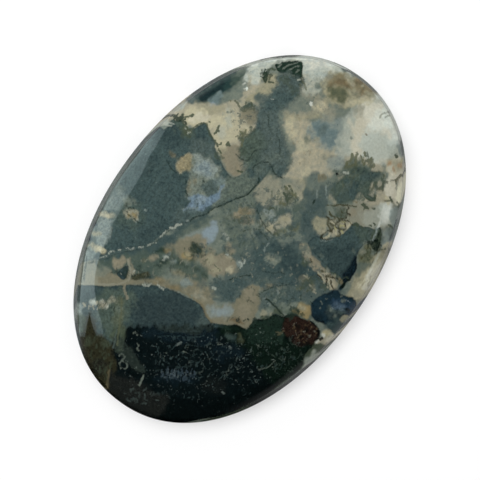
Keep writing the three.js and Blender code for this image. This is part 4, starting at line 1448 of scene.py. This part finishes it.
def mark_stone(mesh, shape, camera_height):
    """Lays the traced markings over the stone's vertices."""
    points = np.empty(len(mesh.vertices) * 3, np.float32)
    mesh.vertices.foreach_get("co", points)
    points = points.reshape(-1, 3).astype(float)
    places = photo_places(points, camera_height)
    sunk = np.clip(1 - points[:, 2] / shape.wall_top, 0, 1)[:, None]
    places += ripples(places, *DEEP_DRIFT, seed=3) * sunk
    uneven = places + sum(ripples(places, *ripple, seed=seed) for seed, ripple in enumerate(RIPPLES))
    patchy = sum(ripples(places, grain, reach, seed=20)[:, 0] for grain, reach in PATCHY)
    store(mesh, "ground", paint(uneven, "haze", GROUND, patchy))
    store(mesh, "moss", paint(uneven, "slate", MOSS, patchy))
    for name, areas in (("cover", COVER), ("calm", CALM), ("flecks", FLECKS)):
        store(mesh, name, spread(uneven, areas, patchy))
    to_mm = PIXEL / MM
    depth, fray, soft = lay_sheets(places, SHEETS)
    store(mesh, "sheet", depth * to_mm)
    store(mesh, "sheet_fray", fray * to_mm)
    store(mesh, "sheet_soft", soft * to_mm)
    threads = list(THREADS)
    for make, kinds in ((grow, TUFTS), (strew, LITTERS)):
        for seed, kind in enumerate(kinds):
            threads += make(kind, seed)
    depth, tones, strength = lay_threads(places + ripples(places, *THREAD_RIPPLE, seed=9), threads)
    store(mesh, "thread", depth * to_mm)
    store(mesh, "thread_tone", tones)
    store(mesh, "thread_strength", strength)


# The finish of the stone

NOISE_GAIN = 5.0  # stretches a noise's narrow swing round its middle
HEM_WIDTH = 0.25  # millimetres in from a sheet's edge
HEM_SHADE = 0.25
COVER_LEVEL = (-0.44, 0.72)  # how the bare level falls with density, and where it starts
COVER_STRENGTH = 0.65
FLECK_LEVEL = (-0.16, 0.74)  # the same for flecks
FLECK_EDGE = 0.12
FLECK_STRENGTH = 0.4
GRIT_GRAIN = 4.2
GRIT_PLACE = (31.0, 17.0, 5.0)  # a part of the noise away from the clouds
FLECK_LOT_PLACE = (7.0, 43.0, 11.0)
DARKEST_CLOUD = 0.2
CLOUD_GRAIN = 2.0
GROUND_CLOUDS = 0.17
MOSS_CLOUDS = 0.2

def ravelled_edge_group():
    """A mask from a depth inside an outline, its edge frayed by noise, and the hem just inside it."""
    inputs = [("Depth", FLOAT, None), ("Coordinates", VECTOR, None), ("Fray", FLOAT, 0.1),
              ("Grain", FLOAT, 2.0), ("Softness", FLOAT, 0.1)]
    outputs = [("Mask", FLOAT, None), ("Hem", FLOAT, None)]
    tree, g, given = new_group("Ravelled Edge", "ShaderNodeTree", inputs, outputs)
    ravel = g.noise(given["Coordinates"], given["Grain"], detail=3.0, roughness=0.65)
    swing = g.math("MULTIPLY", g.math("SUBTRACT", ravel, 0.5), NOISE_GAIN)
    depth = g.math("MULTIPLY_ADD", swing, given["Fray"], given["Depth"])
    mask = g.ramp(depth, g.math("MULTIPLY", given["Softness"], -1.0), given["Softness"])
    hem = g.ramp(depth, HEM_WIDTH, 0.0)
    g.add("NodeGroupOutput", {"Mask": mask, "Hem": g.math("MULTIPLY", hem, mask)})
    return tree


def clouding_group():
    """A colour mottled with lighter, warmer clouds and darker, cooler ones, and with fine grit."""
    inputs = [("Color", COLOUR, None), ("Coordinates", VECTOR, None), ("Grain", FLOAT, 1.0),
              ("Amount", FLOAT, 0.1), ("Warmth", FLOAT, 0.3), ("Grit", FLOAT, 0.1)]
    tree, g, given = new_group("Clouding", "ShaderNodeTree", inputs, [("Color", COLOUR, None)])
    clouds = g.noise(given["Coordinates"], given["Grain"], detail=3.0, roughness=0.7)
    swing = g.math("MULTIPLY", g.math("SUBTRACT", clouds, 0.5), given["Amount"])
    aside = g.vector("ADD", given["Coordinates"], GRIT_PLACE)
    grains = g.noise(aside, GRIT_GRAIN, detail=1.5, roughness=0.7)
    grit = g.math("MULTIPLY", g.math("SUBTRACT", grains, 0.5), given["Grit"])
    cloudy = g.math("MULTIPLY_ADD", swing, NOISE_GAIN, 1.0)
    brightness = g.math("ADD", cloudy, g.math("MULTIPLY", grit, NOISE_GAIN))
    warm = g.math("MULTIPLY", swing, given["Warmth"])
    red, blue = (g.math("MULTIPLY_ADD", warm, gain, 1.0) for gain in (NOISE_GAIN, -NOISE_GAIN))
    shaded = g.vector("SCALE", given["Color"], g.math("MAXIMUM", brightness, DARKEST_CLOUD))
    g.add("NodeGroupOutput", {"Color": g.vector("MULTIPLY", shaded, g.combine(red, 1.0, blue))})
    return tree


def cover_group():
    """A mask of fine moss that grows in ragged clumps, as thickly as a density says."""
    inputs = [("Coordinates", VECTOR, None), ("Density", FLOAT, 0.5), ("Grain", FLOAT, 1.5),
              ("Softness", FLOAT, 0.05)]
    tree, g, given = new_group("Fine Moss", "ShaderNodeTree", inputs, [("Mask", FLOAT, None)])
    clumps = g.noise(given["Coordinates"], given["Grain"], detail=4.0, roughness=0.72, distortion=0.3)
    bare = g.math("MULTIPLY_ADD", given["Density"], *COVER_LEVEL)
    over = g.math("SUBTRACT", clumps, bare)
    mask = g.ramp(over, g.math("MULTIPLY", given["Softness"], -1.0), given["Softness"])
    g.add("NodeGroupOutput", {"Mask": mask})
    return tree


def fleck_group():
    """A mask of small scattered specks, each its own brightness."""
    inputs = [("Coordinates", VECTOR, None), ("Density", FLOAT, 0.2), ("Grain", FLOAT, 4.0)]
    tree, g, given = new_group("Flecks", "ShaderNodeTree", inputs, [("Mask", FLOAT, None)])
    grains = g.noise(given["Coordinates"], given["Grain"], detail=1.0, roughness=0.6)
    aside = g.vector("ADD", given["Coordinates"], FLECK_LOT_PLACE)
    lot = g.noise(aside, g.math("MULTIPLY", given["Grain"], 0.3), detail=1.0)
    bare = g.math("MULTIPLY_ADD", given["Density"], *FLECK_LEVEL)
    speck = g.ramp(grains, bare, g.math("ADD", bare, FLECK_EDGE))
    g.add("NodeGroupOutput", {"Mask": g.math("MULTIPLY", speck, g.ramp(lot, 0.35, 0.65, 0.1, 1.0))})
    return tree


def use_group(g, tree, inputs):
    """A group node with its inputs fed, as its outputs."""
    return g.add("ShaderNodeGroup", inputs, node_tree=tree).outputs


def polished_agate():
    """Chalcedony with moss in it, under a high polish."""
    material = bpy.data.materials.new("polished_moss_agate")
    g = fresh_wiring(material)
    ravelled, clouding = ravelled_edge_group(), clouding_group()
    metres = g.add("ShaderNodeTexCoord").outputs["Object"]
    place = g.vector("SCALE", metres, 1 / MM)

    def attribute(name, output="Fac"):
        return g.add("ShaderNodeAttribute", attribute_name=name).outputs[output]

    def clouded(name, amount, warmth, grit):
        inputs = {"Color": attribute(name, "Color"), "Coordinates": place, "Grain": CLOUD_GRAIN,
                  "Amount": amount, "Warmth": warmth, "Grit": grit}
        return use_group(g, clouding, inputs)["Color"]

    restless = g.math("MULTIPLY_ADD", attribute("calm"), -GROUND_CLOUDS, GROUND_CLOUDS)
    ground = clouded("ground", restless, warmth=0.3, grit=0.09)
    moss = clouded("moss", MOSS_CLOUDS, warmth=0.2, grit=0.27)
    inputs = {"Depth": attribute("sheet"), "Coordinates": place, "Grain": 2.6,
              "Fray": attribute("sheet_fray"), "Softness": attribute("sheet_soft")}
    sheet = use_group(g, ravelled, inputs)
    hemmed = g.vector("SCALE", moss, g.math("MULTIPLY_ADD", sheet["Hem"], -HEM_SHADE, 1.0))
    inputs = {"Coordinates": place, "Density": attribute("cover")}
    cover = g.math("MULTIPLY", use_group(g, cover_group(), inputs)["Mask"], COVER_STRENGTH)
    colour = g.blend(g.math("MAXIMUM", sheet["Mask"], cover), ground, hemmed)
    inputs = {"Coordinates": place, "Density": attribute("flecks")}
    flecks = g.math("MULTIPLY", use_group(g, fleck_group(), inputs)["Mask"], FLECK_STRENGTH)
    colour = g.blend(flecks, colour, (*display(*TONES["mist"]), 1))
    inputs = {"Depth": attribute("thread"), "Coordinates": place, "Grain": 5.0, "Fray": 0.06,
              "Softness": 0.05}
    thread = use_group(g, ravelled, inputs)["Mask"]
    shown = g.math("MULTIPLY", thread, attribute("thread_strength"))
    colour = g.blend(shown, colour, attribute("thread_tone", "Color"))
    inputs = {"Base Color": colour, "Roughness": 0.05, "IOR": 1.54, "Subsurface Weight": 0.15,
              "Subsurface Scale": 0.3 * MM, "Subsurface Radius": (1.0, 1.0, 1.0)}
    shader = g.add("ShaderNodeBsdfPrincipled", inputs)
    g.add("ShaderNodeOutputMaterial", {"Surface": shader.outputs["BSDF"]})
    return material


class CABOCHON_OT_cut(bpy.types.Operator):
    """Cuts the stone, marks its moss and dresses it in polished agate"""

    bl_idname = "cabochon.cut"
    bl_label = "Cut Cabochon"

    def execute(self, context):
        shape = context.scene.cabochon_shape
        stone = cut_stone(shape, polished_agate())
        mark_stone(stone.data, shape, camera_height(context.scene.cabochon_stage.lens))
        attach(stone, BODY)
        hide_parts(NODE)
        return {"FINISHED"}


# The floor, the lights and the camera

SENSOR = 36.0
FLOOR_REACH = 3.0
KEY_AWAY = 0.6
KEY_SIZE = (0.3, 0.75)  # up and down its slant, and along it
KEY_TOWARDS = (-0.38, 0.46)  # right and up in the picture, for each step above the stone
LOW_GLOW_TOP = 0.15  # the sine of the height above the horizon where the mirrored glow ends
LOW_GLOW_FULL = -0.15
LOW_GLOW_DIM = 0.22
LOW_GLOW_GAP = (-0.4, -0.92)  # right and up in the picture, where nothing glows
LIT_SIDE = (-1, 0.7)  # the same, where it glows most
LIT_SPREAD = (-0.3, 0.8)  # how much a direction faces the lit side where the glow is dim and full
GAP_SPREAD = (0.85, 0.45)  # how much it faces the gap where the glow is gone and whole
CARD_AWAY = 0.3
CARD_ROWS = 4
MIRROR_ROUNDS = 8  # tries at the height of the dome under a pixel
SLOPE_STEP = 0.01 * MM
SHEEN_TINT = (0.86, 1.06, 1.08)
CLIP_START = 5 * MM


class Card(NamedTuple):
    """A light that the dome mirrors between two traced lines, with its radiance along and across."""

    inner: str
    outer: str
    radiance: tuple
    across: tuple = (1.0, 1.0)


CARDS = (
    # The broad sheen down the left shoulder
    Card("168,126 160,139 155,148 149,157 144,170 138,180 132,190 126,200 121,210 115,220 110,230 "
         "106,240 100,255 96,270 94.5,285 96,300 99,314",
         "162,126 152,136 145,144 137,156 129,166 121,177 114,188 108,199 103,209 98,220 93,230 "
         "90,241 86,254 83,270 81,285 80,300 79,312",
         (0.6, 1.2, 1.5, 1.5, 1.4, 1.4, 1.4, 1.4, 1.4, 1.4, 1.5, 1.6, 2.2, 2.6, 2.4, 1.8, 1.6)),
    Card("99,314 101,320 102.5,330 104,337", "90,314 91,320 94,330 97,336", (1.6, 1.4, 1.1, 0.5)),
    Card("89.5,314 88,320 86,330 85,337", "79,312 79.5,320 79,330 80,336", (1.6, 1.4, 1.1, 0.5)),
    # Soft gleams and thin streaks down the right shoulder
    Card("378,114 382,124 385,134 385,144 382,154", "390,110 395,122 398,134 398,144 395,154",
         (0.4, 2.0, 2.2, 1.6, 0.0), (0.0, 1.0, 1.0, 0.0)),
    Card("379,203 381,209 382,214 380,221", "390,201 393,208 393,215 388,222",
         (0.0, 1.7, 1.5, 0.0), (0.0, 1.0, 1.0, 0.0)),
    Card("383,213 380,221 376,230 371,241", "385.5,214 382.5,222 378.5,231 373.5,242", (2.0, 1.4, 1.0, 0.3)),
    Card("379,250 375,259 370,268 365,278", "381.5,251 377.5,260 372.5,269 367.5,279", (0.4, 1.6, 1.6, 0.5)),
)


def camera_height(lens):
    """How high the camera stands so that the stone fills the frame as in the photograph."""
    return FRAME_PIXELS * PIXEL * lens / SENSOR + GIRDLE_HEIGHT


def picture_direction(right, up, above):
    """A direction given as the picture's right and up, and towards the camera."""
    return PHOTO_RIGHT * right + PHOTO_UP * up + Vector((0, 0, above))


def camera_place(lens):
    """The camera's place, off the stone's middle as far as the photograph's framing puts it."""
    right = (FRAME_PIXELS / 2 - STONE_MIDDLE[0]) * PIXEL
    up = (STONE_MIDDLE[1] - FRAME_PIXELS / 2) * PIXEL
    return picture_direction(right, up, camera_height(lens))


def dome_height(shape, x, y):
    """The height of the dome over a point of the stone's plan."""
    half_length, half_width = shape.length / 2 - shape.wall_lean, shape.width / 2 - shape.wall_lean
    reach = abs(x / half_length) ** shape.oval_power + abs(y / half_width) ** shape.oval_power
    share = min(reach ** (1 / shape.oval_power), 1)
    lift = (1 - share**shape.dome_flatness) ** (1 / shape.dome_shoulder)
    return shape.wall_top + (shape.thickness - shape.wall_top) * lift


def mirrored_place(shape, lens, pixel):
    """Where a light has to hang for the dome to mirror it at a pixel of the photograph."""
    eye = camera_place(lens)
    right, up = pixel[0] - STONE_MIDDLE[0], STONE_MIDDLE[1] - pixel[1]
    height = shape.thickness
    for _ in range(MIRROR_ROUNDS):
        nearer = (camera_height(lens) - height) / (camera_height(lens) - GIRDLE_HEIGHT)
        spot = picture_direction(right * PIXEL * nearer, up * PIXEL * nearer, 0)
        height = dome_height(shape, spot.x, spot.y)
    spot.z = height
    slopes = []
    for x, y in ((SLOPE_STEP, 0), (0, SLOPE_STEP)):
        rise = dome_height(shape, spot.x + x, spot.y + y) - dome_height(shape, spot.x - x, spot.y - y)
        slopes.append(rise / (2 * SLOPE_STEP))
    normal = Vector((-slopes[0], -slopes[1], 1)).normalized()
    return spot + (spot - eye).normalized().reflect(normal) * CARD_AWAY


def glow_material(name, strength):
    """Gives off the light of its mesh's glow attribute."""
    material = bpy.data.materials.new(name)
    g = fresh_wiring(material)
    colour = g.add("ShaderNodeAttribute", attribute_name="glow").outputs["Color"]
    glow = g.add("ShaderNodeEmission", {"Color": colour, "Strength": strength}).outputs[0]
    g.add("ShaderNodeOutputMaterial", {"Surface": glow})
    return material


def add_card(shape, lens, card, material, number):
    """A curved sheet of light whose mirror image fills the space between the card's two lines."""
    lines = [corners_of(line) for line in (card.inner, card.outer)]
    inner, outer = (smooth_path(line, closed=False) for line in lines)
    places = np.linspace(0, len(card.radiance) - 1, len(inner))
    radiance = np.interp(places, np.arange(len(card.radiance)), card.radiance)
    points, glow = [], []
    for row in range(CARD_ROWS + 1):
        share = row / CARD_ROWS
        across = np.interp(share, np.linspace(0, 1, len(card.across)), card.across)
        for start, end, level in zip(inner, outer, radiance):
            points.append(mirrored_place(shape, lens, start * (1 - share) + end * share))
            glow.append([level * across * part for part in SHEEN_TINT])
    wide = len(inner)
    faces = [(r * wide + c, r * wide + c + 1, (r + 1) * wide + c + 1, (r + 1) * wide + c)
             for r in range(CARD_ROWS) for c in range(wide - 1)]
    mesh = bpy.data.meshes.new(f"light_card_{number}")
    mesh.from_pydata(points, [], faces)
    mesh.materials.append(material)
    store(mesh, "glow", np.array(glow))
    sheet = new_object(mesh.name, mesh)
    sheet.visible_camera = False
    sheet.visible_diffuse = False
    sheet.visible_shadow = False


def add_floor(colour, glow):
    """A wide pale floor that glows a little, so that its shadows stay light."""
    mesh = bpy.data.meshes.new("floor")
    corners = [(x * FLOOR_REACH, y * FLOOR_REACH, 0) for x, y in ((-1, -1), (1, -1), (1, 1), (-1, 1))]
    mesh.from_pydata(corners, [], [(0, 1, 2, 3)])
    floor = new_object("floor", mesh)
    floor.visible_glossy = False
    material = bpy.data.materials.new("pale_floor")
    material.use_nodes = True
    shader = material.node_tree.nodes["Principled BSDF"]
    finish = {"Base Color": (*colour, 1), "Roughness": 1.0, "Specular IOR Level": 0.0,
              "Emission Color": (1, 1, 1, 1), "Emission Strength": glow}
    for name, value in finish.items():
        shader.inputs[name].default_value = value
    mesh.materials.append(material)


def add_world(fill, low_glow):
    """Pale surroundings, of which the polish mirrors only a dim glow from low down."""
    world = bpy.data.worlds.new("pale_surroundings")
    bpy.context.scene.world = world
    g = fresh_wiring(world)
    rays = g.add("ShaderNodeLightPath").outputs
    away = g.add("ShaderNodeTexCoord").outputs["Generated"]
    lit_side, gap = (picture_direction(*side, 0).normalized() for side in (LIT_SIDE, LOW_GLOW_GAP))
    facing = g.vector("DOT_PRODUCT", away, tuple(lit_side), output="Value")
    level = g.vector("NORMALIZE", g.vector("MULTIPLY", away, (1.0, 1.0, 0.0)))
    near_gap = g.vector("DOT_PRODUCT", level, tuple(gap), output="Value")
    height = g.add("ShaderNodeSeparateXYZ", {0: away}).outputs["Z"]
    low = g.ramp(height, LOW_GLOW_TOP, LOW_GLOW_FULL)
    lit = g.ramp(facing, *LIT_SPREAD, LOW_GLOW_DIM, low_glow)
    glow = g.math("MULTIPLY", lit, g.ramp(near_gap, *GAP_SPREAD))
    mirrored = g.math("MULTIPLY", low, glow)
    unseen = g.choose(rays["Is Glossy Ray"], fill, mirrored)
    strength = g.choose(rays["Is Camera Ray"], unseen, 1.0)
    background = g.add("ShaderNodeBackground", {"Color": (1, 1, 1, 1), "Strength": strength})
    g.add("ShaderNodeOutputWorld", {"Surface": background.outputs[0]})


def add_key(radiance):
    """A large soft light from the picture's upper left."""
    light = bpy.data.lights.new("key", "AREA")
    light.shape = "ELLIPSE"
    light.size_y, light.size = KEY_SIZE
    light.energy = radiance * math.pi * math.pi * light.size * light.size_y / 4
    key = new_object("key", light)
    towards = picture_direction(*KEY_TOWARDS, 1).normalized()
    key.location = towards * KEY_AWAY
    along = Vector((0, 0, 1)).cross(towards).normalized()
    key.rotation_euler = Matrix((along, towards.cross(along), towards)).transposed().to_euler()
    key.visible_glossy = False
    key.visible_camera = False


def add_camera(lens):
    """A camera straight above, turned so that the stone lies as it does in the photograph."""
    data = bpy.data.cameras.new("camera")
    data.lens = lens
    data.sensor_width = SENSOR
    data.clip_start = CLIP_START
    camera = new_object("camera", data)
    turned = Matrix((PHOTO_RIGHT, PHOTO_UP, (0, 0, 1))).transposed()
    camera.matrix_world = Matrix.Translation(camera_place(lens)) @ turned.to_4x4()
    bpy.context.scene.camera = camera


class CABOCHON_OT_stage(bpy.types.Operator):
    """Lays the pale floor, hangs the lights and stands the camera over the stone"""

    bl_idname = "cabochon.stage"
    bl_label = "Set Stage"

    def execute(self, context):
        look, shape = context.scene.cabochon_stage, context.scene.cabochon_shape
        add_camera(look.lens)
        add_floor(look.floor, look.floor_glow)
        add_world(look.fill, look.low_glow)
        add_key(look.key_power)
        glowing = glow_material("soft_light", look.window)
        for number, card in enumerate(CARDS):
            add_card(shape, look.lens, card, glowing, number)
        context.scene.view_settings.view_transform = "Standard"
        return {"FINISHED"}


class CABOCHON_PT_panel(bpy.types.Panel):
    """Lists the operators and their settings"""

    bl_idname = "CABOCHON_PT_panel"
    bl_label = "Cabochon"
    bl_space_type = "VIEW_3D"
    bl_region_type = "UI"
    bl_category = "Cabochon"

    def draw(self, context):
        for settings in (context.scene.cabochon_shape, context.scene.cabochon_stage):
            box = self.layout.box()
            for name in settings.__annotations__:
                box.prop(settings, name)
        for operator in OPERATORS:
            self.layout.operator(operator.bl_idname)


OPERATORS = (CABOCHON_OT_stage, CABOCHON_OT_cut)
CLASSES = (CabochonShape, StageLook, *OPERATORS, CABOCHON_PT_panel)


def register():
    for cls in CLASSES:
        bpy.utils.register_class(cls)
    bpy.types.Scene.cabochon_shape = PointerProperty(type=CabochonShape)
    bpy.types.Scene.cabochon_stage = PointerProperty(type=StageLook)


def unregister():
    del bpy.types.Scene.cabochon_stage
    del bpy.types.Scene.cabochon_shape
    for cls in reversed(CLASSES):
        bpy.utils.unregister_class(cls)


def main():
    register()
    bpy.ops.cabochon.stage()
    bpy.ops.cabochon.cut()


if __name__ == "__main__":
    main()
